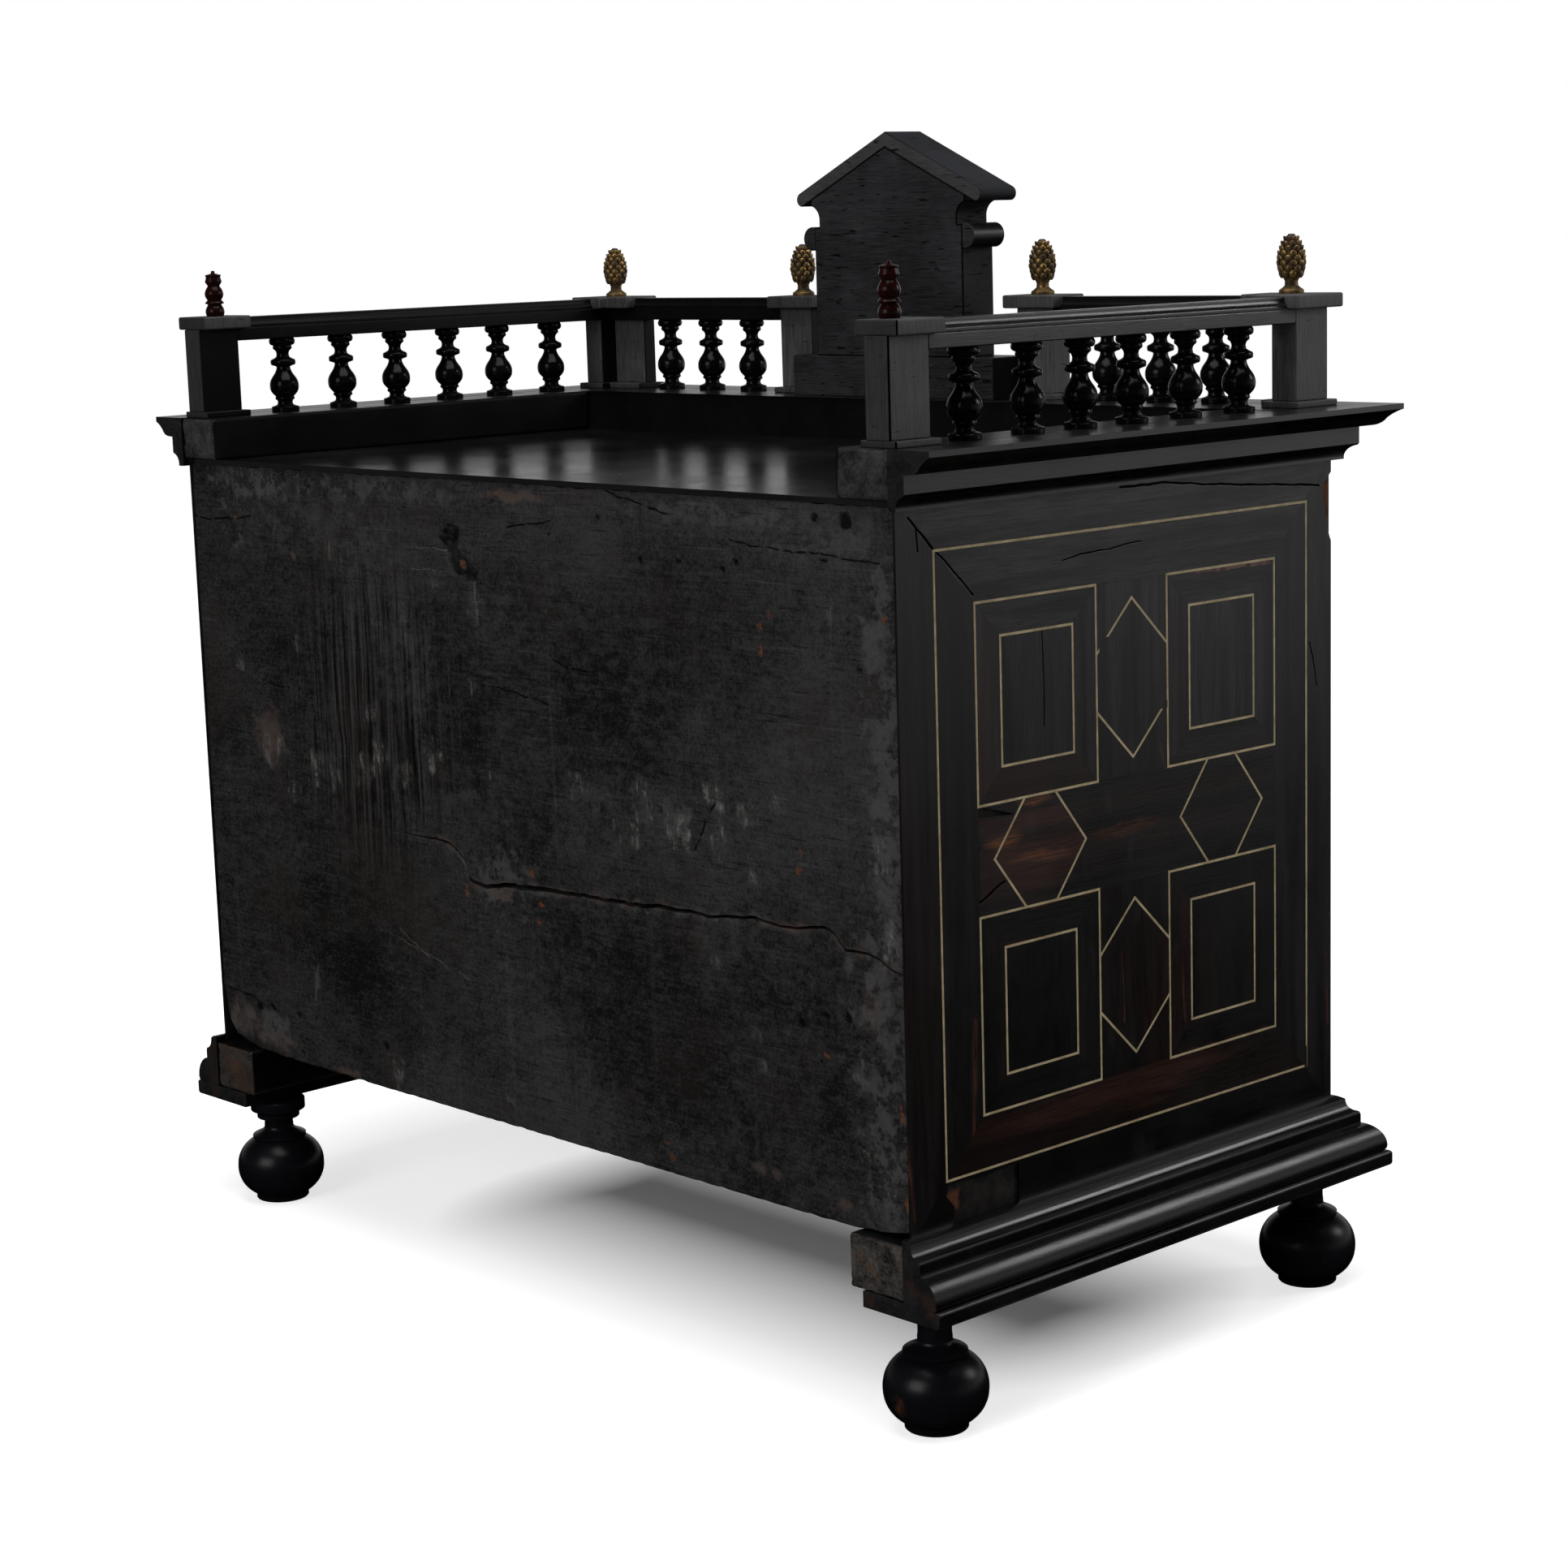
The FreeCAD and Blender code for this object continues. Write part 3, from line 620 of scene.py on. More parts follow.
# the kind of fractal noise, and the size in mm and the seed of each ripple in the wood
rippleKind = (0.9, 2.1, 4)
ripples = {"rag": (9.0, 2.0), "tornPale": (8.0, 11.0), "tornBare": (14.0, 12.0), "wave": (70.0, 0.0),
           "flake": (16.0, 8.0), "edge": (12.0, 4.0), "gougeRim": (5.0, 6.0), "gougeFloor": (5.0, 1.0),
           "gougeShade": (6.0, 1.0), "stepRim": (14.0, 3.0), "stepFloor": (10.0, 9.0), "sawn": (11.0, 2.0),
           "sawnFine": (4.0, 3.0)}
# how many half sizes a mark reaches, and how steep its edge is
markReach, markEdge = 1.7, 1.8


def along(path, x):
    # the values of a path listed with falling x
    for first, second in zip(path, path[1:]):
        if second[0] <= x <= first[0]:
            t = (first[0] - x) / (first[0] - second[0])
            return [a + (b - a) * t for a, b in zip(first[1:], second[1:])]
    return list(path[0][1:] if x > path[0][0] else path[-1][1:])


def ripple(x, z, name):
    size, seed = ripples[name]
    return noise.fractal(Vector((x / size, z / size, seed)), *rippleKind)


def markAt(marks, x, z, rag):
    most = 0.0
    for cx, cz, halfX, halfZ, amount in marks:
        dx, dz = abs(x - cx) / halfX, abs(z - cz) / halfZ
        if max(dx, dz) < markReach:
            inside = 1.0 - math.hypot(dx, dz) + rag
            most = max(most, amount * min(1.0, max(0.0, inside * markEdge)))
    return most


def insideOutline(outline, x, z):
    inside = False
    for (x0, z0), (x1, z1) in zip(outline, outline[1:] + outline[:1]):
        if (z0 > z) != (z1 > z) and x < x0 + (x1 - x0) * (z - z0) / (z1 - z0):
            inside = not inside
    return inside


def fade(value, low, high):
    t = min(1.0, max(0.0, (value - low) / (high - low)))
    return t * t * (3 - 2 * t)


def boardEdges(x, upper):
    # bottom and top of a board at x, and the gap of the split there
    shape = boardShape
    seam, gap = along(splitPath, x)
    gap *= shape["gapGain"]
    paceX, paceZ = shape["jitterPace"]
    jitter = noise.noise(Vector((x * paceX, seam * paceZ, 3.0))) * min(gap * 2, shape["gapJitter"])
    if upper:
        chips = shape["topChips"] * abs(noise.noise(Vector((x * shape["topPace"], 7.0, 0.0))))
        return seam + gap + jitter, backHigh[2] / mm - chips, gap
    chips = shape["bottomChips"] * noise.noise(Vector((x * shape["bottomPace"], 1.0, 0.0)))
    return max(backLow[2] / mm, along(lowerEdge, x)[0] + chips), seam - gap + jitter, gap


def wearAt(x, z, fromSplit, gap):
    # how strong each kind of mark is, with the wood torn along the open split
    shape = boardShape
    rag = shape["ragged"] * ripple(x, z, "rag")
    worn = {key: markAt(marks, x, z, rag * shape["toolRagged"] if key == "tool" else rag)
            for key, marks in backMarks.items()}
    torn = (1 - fade(fromSplit, *shape["tornReach"])) * min(1.0, gap)
    worn["pale"] = max(worn["pale"], torn * (0.4 + ripple(x, z, "tornPale")))
    worn["bare"] = max(worn["bare"], torn * (0.25 + ripple(x, z, "tornBare")))
    return worn


def sunkAt(x, z, worn, upper, fromEdge):
    # how far the surface lies in from the flat, in mm
    shape = boardShape
    inward = shape["wave"] * (0.6 + ripple(x, z, "wave"))
    stripe = noise.noise(Vector((x / 5.0 + z / 260.0, z / 160.0, 5.0)))
    inward += shape["toolGroove"] * worn["tool"] * (0.5 + stripe)
    flaked = fade(-x, *shape["upperEnd" if upper else "lowerEnd"])
    if upper:
        flaked = max(fade(z, *shape["flakedTop"]), flaked)
    inward += shape["flake"] * flaked * max(0.0, 0.45 + 1.2 * ripple(x, z, "flake"))
    inward += sum(deep * worn[key] for key, deep in shape["sunk"].items())
    rough = 0.4 + abs(ripple(x, z, "edge"))
    inward += shape["edgeWear"] * (1 - fade(fromEdge, *shape["edgeReach"])) * rough
    inward += shape["endWear"] * (1 - fade(backHigh[0] / mm - abs(x), *shape["edgeReach"]))
    shifted = ripple(x, z, "gougeRim") * shape["gougeRag"]
    if insideOutline(gouge, x + shifted, z + shifted):
        inward += shape["gougeDeep"] * (0.6 + 0.5 * abs(ripple(x, z, "gougeFloor")))
        worn["deep"] = max(worn["deep"], 0.36 + 0.5 * abs(ripple(x, z, "gougeShade")) - worn["rust"])
    stepTop = shape["stepHigh"] - shape["stepBow"] * (shape["stepEnd"] - x) ** 2
    stepTop += shape["stepRag"] * ripple(x, z, "stepRim")
    if not upper and x > shape["stepFrom"] and z < stepTop:
        inward += shape["stepDeep"] * (0.5 + 0.5 * abs(ripple(x, z, "stepFloor")))
    return max(0.0, inward)


def makeBackBoard(name, upper):
    shape = boardShape
    dropSelection()
    bpy.ops.mesh.primitive_grid_add(x_subdivisions=shape["columns"],
                                    y_subdivisions=shape["upperRows" if upper else "lowerRows"], size=1)
    board = bpy.context.object
    board.name = name
    wornList = {key: [] for key in backMarks}
    for vertex in board.data.vertices:
        x = vertex.co.x * 2 * (backHigh[0] / mm)
        t = vertex.co.y + 0.5
        bottom, top, gap = boardEdges(x, upper)
        tall = top - bottom
        z = bottom + tall * t
        worn = wearAt(x, z, t * tall if upper else (1 - t) * tall, gap)
        inward = sunkAt(x, z, worn, upper, min(t, 1 - t) * tall)
        vertex.co = (x * mm, rearY - inward * mm, z * mm)
        for key, value in worn.items():
            wornList[key].append(value)
    for key, values in wornList.items():
        giveAttribute(board, key, values)
    faceOutward(board)
    if board.data.polygons[0].normal.y < 0:
        editAll(board)
        bpy.ops.mesh.flip_normals()
        leaveEdit()
    # the rim drawn back to the flat front, and closed
    editAll(board)
    bpy.ops.mesh.select_all(action="DESELECT")
    bpy.ops.mesh.select_mode(type="EDGE")
    bpy.ops.mesh.select_non_manifold()
    bpy.ops.mesh.extrude_edges_move(TRANSFORM_OT_translate={"value": (0, -mm, 0)})
    leaveEdit()
    for vertex in board.data.vertices:
        if vertex.select:
            vertex.co.y = backLow[1]
    bpy.ops.object.mode_set(mode="EDIT")
    bpy.ops.mesh.edge_face_add()
    bpy.ops.mesh.select_mode(type="VERT")
    leaveEdit()
    faceOutward(board)
    smoothBy(board, shape["smooth"])
    return board


backLook = {"dark": (0.0052, 0.0049, 0.0049), "mid": (0.040, 0.0392, 0.0396), "pale": (0.082, 0.081, 0.083),
            "chalk": (0.21, 0.20, 0.185), "raw": (0.085, 0.060, 0.050), "rust": (0.14, 0.046, 0.016),
            "black": (0.0016, 0.0012, 0.001), "brown": (0.024, 0.0185, 0.0155),
            "thinMarks": [(0.12, 0.7, "black"), (-0.4, 0.3, "pale")], "dimmed": -0.36, "grain": (5.0, 120.0),
            "specular": 0.1, "bump": (0.6, 1.2),
            "lines": [((396, 570), (374, 569), 1.0), ((374, 569), (342, 570), 1.0),
                      ((342, 570), (318, 574), 0.9), ((306, 443), (284, 439), 1.0),
                      ((-223, 405), (-199, 371), 1.1), ((-245, 583), (-292, 580), 0.8),
                      ((-292, 580), (-384, 576), 0.8), ((-120, 610), (-190, 597), 1.0),
                      ((-5, 581), (-66, 587), 1.0), ((-55, 488), (-93, 481), 0.9),
                      ((10, 464), (-48, 456), 0.8), ((389, 181), (352, 178), 1.1)],
            "lightLines": [((114, 560), (66, 560), 0.5), ((109, 544), (73, 544), 0.5),
                           ((145, 265), (106, 245), 0.5), ((158, 260), (53, 236), 0.5),
                           ((259, 219), (266, 183), 0.6)]}


def onBack(x, z):
    return (x * mm, 0.0, z * mm)


def makeStainedBack(look):
    paint = Finish("stainedBack")
    place, spread, over = paint.place, paint.spread, paint.over
    grain = paint.grain(alongX, *look["grain"])
    cloud = paint.speckle(place, 7.0, detail=8.0, roughness=0.65)
    fine = paint.speckle(place, 420.0, roughness=0.7)
    blotch = paint.stretched(place, (46, 60, 92), detail=9.0, roughness=0.8)
    ragged = paint.speckle(place, 120.0, detail=6.0, roughness=0.75)
    ragged = paint.times(paint.calc("SUBTRACT", ragged, 0.5), 1.6)

    def mask(name, low, high):
        value = paint.read(name)
        return spread(paint.plus(value, ragged, spread(value, 0.0, 0.3, 0.0, 0.5)), low, high)

    # the stain: clouds, blotches, grit and grain, with thin scores and drips
    tone = spread(cloud, *noiseSpan, 0.02, 0.87)
    for value, low, high in ((blotch, -0.34, 0.36), (fine, -0.4, 0.46), (grain["Fibre"], -0.16, 0.26)):
        tone = paint.calc("ADD", tone, spread(value, *noiseSpan, low, high))
    tone = paint.plus(tone, paint.read("dim"), look["dimmed"], clamp=True)
    colour = over(paint.mix(tone, look["dark"], look["mid"]), look["brown"],
                  paint.cloud(11.0, 0.5, 0.7, 0.0, 0.5, detail=5.0))
    for turn, kept, shade in look["thinMarks"]:
        thin = paint.stretched(place, (22, 1, 620), turn=(0, turn, 0), detail=1.0)
        colour = over(colour, look[shade], spread(thin, 0.66, 0.74, 0.0, kept), spread(cloud, 0.4, 0.6))
    drips = spread(paint.stretched(place, (150, 1, 3), detail=2.0), 0.62, 0.78, 0.0, 0.3)
    colour = over(colour, look["pale"], drips, cloud)

    # upright scraper marks
    tool = paint.read("tool")
    stripes = paint.drifted(place, 14.0, (0.006, 0, 0))
    stripes = paint.stretched(stripes, (290, 1, 9), roughness=0.75)
    toolLight = paint.times(tool, spread(stripes, 0.52, 0.62))
    toolDark = paint.times(tool, spread(stripes, 0.49, 0.41))
    colour = over(colour, look["pale"], toolLight, 0.3)
    colour = over(colour, look["black"], toolDark, 0.92)

    # pale flaked stain, bare wood, chalky rubs and rusty chips
    scaly = paint.speckle(place, 52.0, detail=9.0, roughness=0.76)
    flaking = mask("pale", 0.1, 0.6)
    pale = paint.times(flaking, spread(scaly, 0.43, 0.54))
    colour = over(colour, look["pale"], pale, 0.55)
    rims = paint.calc("ABSOLUTE", paint.calc("SUBTRACT", scaly, 0.455))
    colour = over(colour, look["black"], flaking, spread(rims, 0.016, 0.006, 0.0, 0.7))
    colour = over(colour, look["raw"], mask("bare", 0.1, 0.7), 0.6)
    strokes = spread(paint.stretched(place, (230, 1, 38), detail=5.0, roughness=0.7), 0.47, 0.6)
    crumbs = paint.times(strokes, paint.cloud(110.0, 0.46, 0.6, detail=6.0, roughness=0.75))
    chalk = paint.times(mask("chalk", 0.15, 0.85), spread(crumbs, 0.0, 1.0, 0.06, 0.9))
    strayed = paint.cloud(33.0, 0.66, 0.76, detail=9.0, roughness=0.8)
    colour = over(colour, look["chalk"], paint.most(chalk, paint.times(strayed, 0.22)), 0.85)
    colour = over(colour, look["rust"], mask("rust", 0.15, 0.6), spread(fine, 0.35, 0.6))

    # cracks, scratches, pits and worm holes
    flat = paint.vector("MULTIPLY", paint.drifted(place, 45.0, (0.008, 0, 0.008)), (1, 0, 1))
    broken = paint.cloud(90.0, 0.4, 0.56, detail=4.0)
    light = spread(paint.lines(flat, look["lightLines"], onBack), 0.1, 0.6, 0.0, 0.35)
    colour = over(colour, look["chalk"], light, broken)
    split = spread(paint.lines(flat, look["lines"], onBack), 0.05, 0.4)
    split = paint.times(split, spread(broken, 0.0, 0.5))
    holes = paint.use(wormHoles, Vector=place, Per_Metre=34.0, Radius=0.045, Share=0.16)["Mask"]
    deep = paint.most(split, holes, mask("deep", 0.2, 0.6))
    colour = over(colour, look["black"], deep, 0.9)
    rough = paint.most(paint.plus(0.5, fine, 0.2), paint.times(deep, 0.9))
    height = paint.plus(paint.times(cloud, 1.2), grain["Fibre"], 0.25)
    for value, gain in ((blotch, 0.8), (fine, 0.25), (paint.calc("SUBTRACT", toolLight, toolDark), 0.35),
                        (pale, -0.3), (deep, -2.2)):
        height = paint.plus(height, value, gain)
    return paint.surface(look, colour, rough, height)


stainedBack = makeStainedBack(backLook)
backBoards = joinPieces([makeBackBoard("backBoardLower", False), makeBackBoard("backBoardUpper", True)],
                        "backBoards")
dress(backBoards, stainedBack)
standFor(backBoards, "back_boards")
print("back boards made,", len(backBoards.data.polygons), "faces")


# inlaid sides: black-brown streaked veneer laid in leaves; places are (y, z) in mm from the panel's middle
veneerLook = {
    "black": (0.0022, 0.0021, 0.0025), "brown": (0.0165, 0.0147, 0.0152), "red": (0.072, 0.022, 0.0115),
    "joint": (0.0016, 0.0014, 0.0014), "orange": (0.19, 0.062, 0.02), "filler": (0.16, 0.072, 0.055),
    "scratch": (0.06, 0.055, 0.05), "grain": (4.5, 85.0), "wideGrain": (2.0, 26.0), "scuffs": 11.0,
    "specular": 0.36, "bump": (0.3, 0.3), "fillerAt": ((-108, 169), (47, 1.8)),
    "lines": [((11, 233), (-36, 232), 1.1), ((-36, 232), (-104, 226), 1.1), ((-104, 226), (-205, 217), 1.1),
              ((212, 230), (191, 209), 1.3), ((191, 209), (155, 175), 1), ((205, 222), (204, 208), 1.1),
              ((90, 146), (89, 113), 0.8), ((89, 113), (90, 82), 0.8), ((153, -26), (130, -16), 1.1),
              ((-194, 105), (-203, 73), 1), ((70, 190), (-10, 196), 0.7)],
    "redLines": [((14, -85), (12, -134), 1.2), ((-55, -168), (-143, -168), 0.9),
                 ((-50, -105), (-53, -147), 1.5), ((-213, -124), (-215, -179), 1.6),
                 ((228, -157), (221, -227), 2.0), ((127, -60), (105, -60), 1.4),
                 ((104, -38), (40, -38), 1.2), ((-28, 54), (-35, 38), 1.6), ((160, -105), (164, -179), 3.0)],
    "orangeSpots": [((98, 33), (16, 4), 0.9), ((131, 11), (22, 7), 0.75), ((95, -4), (42, 5), 0.6),
                    ((5, 1), (44, 6), 0.28)],
}
# tone and redness of each leaf by its middle; the tone holds the leaf's own tone and a painted sheen, the
# upper leaves lighter and the lower ones darker
leafLooks = {
    "upright": [((-204, 0), 0.81, 0.03), ((-171, 0), 0.72, 0.1), ((207, 0), 0.6, 0.08),
                ((171, 0), 0.54, 0.11), ((142, 103), 1.32, 0.25), ((48, 103), 1.15, 0.09),
                ((95, 103), 1.03, 0.04), ((-48, 103), 1.21, 0.1), ((-142, 103), 1.38, 0.1),
                ((-95, 103), 1.75, 0.1), ((142, -103), 0.21, 0.09), ((48, -103), 0.21, 0.1),
                ((95, -103), 0.1, 0.03), ((-48, -103), 0.27, 0.16), ((-142, -103), 0.27, 0.14),
                ((-95, -103), 0.23, 0.16), ((0, 59), 0.75, 0.09), ((0, 148), 1.65, 0.07),
                ((0, 103), 1.26, 0.07), ((0, -148), 0.2, 0.14), ((0, -59), 0.24, 0.14),
                ((0, -103), 0.23, 0.3)],
    "level": [((2, -225), 0.21, 0.09), ((1, -188), 0.24, 0.5), ((2, 224), 2.1, 0.03), ((1, 188), 1.9, 0.06),
              ((95, 49), 0.55, 0.85), ((95, 158), 1.44, 0.1), ((-95, 49), 0.75, 0.11),
              ((-95, 158), 1.55, 0.07), ((95, -158), 0.17, 0.09), ((95, -49), 0.23, 0.16),
              ((-95, -158), 0.23, 0.18), ((-95, -49), 0.27, 0.18), ((-132, 0), 0.54, 0.14),
              ((-94, 0), 0.51, 0.14), ((0, 0), 0.48, 0.11), ((132, 0), 0.57, 0.27), ((94, 0), 0.6, 0.5)],
}
# outlines of lost veneer on the left side
lostLeaves = [[(121, -209.5), (121, -242), (186, -242), (183, -226), (191, -217), (188, -209), (150, -211)],
              [(-221, 228), (-209, 217), (-212, 200), (-216, 183), (-221, 172)],
              [(154, 37.5), (118, 27), (154, 30)]]


def onPanel(y, z):
    return (0, y * mm, z * mm)


def panelSpot(paint, vector, middle, half, edge, kind, middleX=0, deep=10):
    # a patch on the panel, its place and half size given in mm
    (y, z), (halfY, halfZ) = middle, half
    return paint.use(patch, Vector=vector, Middle=(middleX, y * mm, z * mm),
                     Half_Size=(deep, halfY * mm, halfZ * mm), Edge=edge)[kind]


def panelPlace(paint):
    return paint.vector("SUBTRACT", paint.place, (0, panelMiddle.y, panelMiddle.z))


def layFaults(paint, look, colour, fibre):
    # orange and red wear, a strip of filler, and cracks
    centred = panelPlace(paint)
    flat = paint.vector("MULTIPLY", paint.drifted(centred, 30.0, (0, 0.006, 0.006)), (0, 1, 1))
    rag = paint.vector("MULTIPLY", paint.drifted(centred, 40.0, (0, 0.02, 0.012)), (0, 1, 1))
    bright = [paint.times(panelSpot(paint, rag, middle, half, 0.7, "Round"), amount)
              for middle, half, amount in look["orangeSpots"]]
    colour = paint.over(colour, look["orange"], paint.most(*bright), paint.spread(fibre, 0.35, 0.6))
    worn = paint.lines(flat, look["redLines"], onPanel)
    colour = paint.over(colour, look["red"], worn, paint.spread(fibre, 0.4, 0.6))
    strip = panelSpot(paint, flat, *look["fillerAt"], 0.3, "Square")
    colour = paint.over(colour, look["filler"], strip, paint.cloud(90.0, 0.4, 0.55), 0.85)
    crack = paint.spread(paint.lines(flat, look["lines"], onPanel), 0.05, 0.5)
    return paint.over(colour, look["joint"], crack), crack


def makeVeneer(name, axis, look, leaves, faults):
    paint = Finish(name)
    spread = paint.spread
    grain = paint.grain(axis, *look["grain"])
    fibre, height = grain["Fibre"], grain["Height"]
    marks = paint.scuffs(look["scuffs"])
    colour = paint.mix(spread(grain["Streak"], 0.38, 0.62), look["black"], look["brown"])
    colour = paint.over(colour, look["black"], spread(fibre, 0.45, 0.65, 0.0, 0.75))
    wide = spread(paint.grain(axis, *look["wideGrain"])["Streak"], 0.54, 0.64, 0.2, 1.0)
    redness = paint.times(wide, spread(fibre, 0.3, 0.6, 0.35, 1.0))
    if leaves:
        # each leaf's tone with painted sheen: lighter on the upper leaves, darker on the lower
        colour = paint.scaled(colour, paint.read("leafTone"))
        share = paint.read("leafRed")
    else:
        share = paint.cloud(4.0, 0.45, 0.7, 0.05, 0.6)
    colour = paint.over(colour, look["red"], paint.calc("MULTIPLY", redness, share, clamp=True))
    specular = look["specular"]
    if faults:
        colour, crack = layFaults(paint, look, colour, fibre)
        height = paint.plus(height, crack, -1.5)
        specular = spread(crack, 0.0, 1.0, look["specular"], 0.0)
    colour = paint.over(colour, look["scratch"], marks["Scratches"], 0.12)
    rough = paint.plus(spread(fibre, *noiseSpan, 0.26, 0.36), marks["Cloud"], 0.12)
    return paint.surface(look, colour, rough, height, specular)


frontVeneer = makeVeneer("frontVeneer", alongX, veneerLook, False, False)
# reach in X of the cutters for lost veneer, and the eased joints; in mm and degrees
veneerCut = {"from": -404, "to": -394, "joint": 0.5, "jointAngle": 30}


def layVeneer(node, kind, material, cutters):
    piece = copySolid(node)
    for outline in cutters:
        places = [(panelMiddle.y + y * mm, panelMiddle.z + z * mm) for y, z in outline]
        cutter = prism(places, veneerCut["from"] * mm, veneerCut["to"] * mm)
        applyModifier(piece, "BOOLEAN", operation="DIFFERENCE", object=cutter, solver="EXACT")
        pick(cutter)
        bpy.ops.object.delete()
    dress(piece, material, jointBlack)
    easeSharp(piece, veneerCut["joint"], 1, veneerCut["jointAngle"])
    tonesAndSheen = [1.0] * len(piece.data.vertices)
    reds = [0.0] * len(piece.data.vertices)
    for island in islandsOf(piece):
        points = [piece.data.vertices[index].co for index in island]
        y = (min(p.y for p in points) + max(p.y for p in points)) / 2 - panelMiddle.y
        z = (min(p.z for p in points) + max(p.z for p in points)) / 2 - panelMiddle.z
        leaf = min(leafLooks[kind], key=lambda leaf: math.hypot(leaf[0][0] - y / mm, leaf[0][1] - z / mm))
        for index in island:
            tonesAndSheen[index], reds[index] = leaf[1:]
    giveAttribute(piece, "leafTone", tonesAndSheen)
    giveAttribute(piece, "leafRed", reds)
    standFor(piece, node)


for side, faults in (("left", True), ("right", False)):
    for kind, axis in (("upright", alongZ), ("level", alongY)):
        material = makeVeneer(kind + "Veneer" + side.capitalize(), axis, veneerLook, True, faults)
        layVeneer("veneer_" + kind + "_" + side, kind, material, lostLeaves if faults else [])

boneLook = {"bone": (0.50, 0.41, 0.245), "aged": (0.25, 0.185, 0.095), "lost": (0.004, 0.0035, 0.003),
            "roughness": (0.38, 0.55), "specular": 0.4, "bump": (0.2, 0.2),
            "lostParts": [((28, 129), (5.5, 5)), ((-32, 81), (4.5, 3)), ((-189, -200), (1.6, 8))]}


def makeBone(look, faults):
    paint = Finish("bone" if faults else "boneWhole")
    cloud = paint.speckle(paint.place, 55.0, detail=6.0, roughness=0.7)
    colour = paint.mix(paint.spread(cloud, 0.4, 0.7), look["bone"], look["aged"])
    if faults:
        centred = panelPlace(paint)
        lost = [panelSpot(paint, centred, *part, 0.05, "Square") for part in look["lostParts"]]
        colour = paint.over(colour, look["lost"], paint.most(*lost))
    return paint.surface(look, colour, paint.spread(cloud, *noiseSpan, *look["roughness"]), cloud)


bone = makeBone(boneLook, True)
boneWhole = makeBone(boneLook, False)
dress(frame["nodes"]["stringing_left"], bone)
for node in ("stringing_right", "door_stringing"):
    dress(frame["nodes"][node], boneWhole)
print("inlaid sides made")


# sawn ends: bare and rough, grey-brown and rusty at the base, plain grey at the cornice; places in metres
sawnLook = {"end": (0.078, 0.069, 0.061), "high": (0.046, 0.045, 0.046), "dark": (0.0045, 0.004, 0.0038),
            "rim": (0.095, 0.040, 0.017), "brown": (0.034, 0.018, 0.010), "lowFrom": (0.5, 0.3),
            "farSide": (-0.1, 0.1), "roughness": 0.8, "specular": 0.25, "bump": (0.7, 2)}
darkEndLook = dict(sawnLook, end=(0.013, 0.0122, 0.0122), high=(0.016, 0.0152, 0.0152),
                   dark=(0.002, 0.0018, 0.0018), rim=(0.030, 0.0125, 0.006), brown=(0.016, 0.010, 0.007))


def makeSawnEnd(name, look):
    paint = Finish(name)
    x, y, z = paint.parts(paint.place)
    low = paint.spread(z, *look["lowFrom"])
    grit = paint.speckle(paint.place, 420.0, detail=4.0, roughness=0.7)
    rough = paint.plus(paint.speckle(paint.place, 60.0, detail=7.0, roughness=0.75), grit, 0.6)
    plain = paint.mix(low, look["high"], look["end"])
    colour = paint.mix(paint.spread(rough, 0.66, 0.96), look["dark"], plain)
    colour = paint.over(colour, look["rim"], paint.cloud(45.0, 0.52, 0.62, 0.0, 0.7, detail=5.0), low)
    farSide = paint.times(paint.spread(x, *look["farSide"]), low)
    colour = paint.over(colour, look["brown"], farSide, paint.cloud(30.0, 0.4, 0.55, 0.0, 0.8, detail=4.0))
    return paint.surface(look, colour, look["roughness"], rough)


sawnEnd = makeSawnEnd("sawnEnd", sawnLook)
darkEnd = makeSawnEnd("darkEnd", darkEndLook)
polishLook = {"deep": (0.0026, 0.0025, 0.0028), "dust": (0.03, 0.028, 0.026), "grain": (3.0, 60.0),
              "scuffs": 6.0, "roughness": (0.17, 0.3), "specular": 0.4, "bump": (0.12, 0.6)}


def makePolishedTop(look):
    paint = Finish("polishedTop")
    marks = paint.scuffs(look["scuffs"])
    dust = paint.times(paint.plus(marks["Cloud"], marks["Dust"], 0.5), 0.22)
    rough = paint.spread(marks["Cloud"], 0.0, 1.0, *look["roughness"])
    colour = paint.mix(dust, look["deep"], look["dust"])
    return paint.surface(look, colour, rough, paint.grain(alongX, *look["grain"])["Height"])


polishedTop = makePolishedTop(polishLook)

# plain woods of the inside, red wood of the rear finials, and the metals
drawerLook = {"light": (0.23, 0.125, 0.06), "dark": (0.1, 0.048, 0.022), "roughness": (0.45, 0.62),
              "grain": (5.0, 95.0), "scuffs": 10.0, "specular": 0.35, "bump": (0.25, 0.5)}
carcaseLook = dict(drawerLook, light=(0.034, 0.024, 0.018), dark=(0.012, 0.009, 0.008), roughness=(0.5, 0.7))
redLook = dict(drawerLook, light=(0.026, 0.0052, 0.0036), dark=(0.004, 0.0014, 0.0013), roughness=(0.13, 0.2),
               specular=0.1)


def makePlainWood(name, axis, look):
    paint = Finish(name)
    grain = paint.grain(axis, *look["grain"])
    tone = paint.plus(paint.spread(grain["Streak"], *noiseSpan, 0.0, 0.7), grain["Fibre"], 0.4)
    colour = paint.mix(tone, look["light"], look["dark"])
    colour = paint.over(colour, look["dark"], paint.scuffs(look["scuffs"])["Cloud"], 0.25)
    rough = paint.spread(grain["Fibre"], 0.2, 0.8, *look["roughness"])
    return paint.surface(look, colour, rough, grain["Height"])


drawerWood = makePlainWood("drawerWood", alongY, drawerLook)
carcaseWood = makePlainWood("carcaseWood", alongY, carcaseLook)
redWood = makePlainWood("redWood", alongZ, redLook)

gildLook = {"bright": (0.46, 0.29, 0.105), "dull": (0.11, 0.066, 0.025), "grime": (0.014, 0.010, 0.006),
            "metallic": (1.0, 0.2), "roughness": (0.3, 0.7), "specular": 0.5, "bump": (0.25, 0.4)}


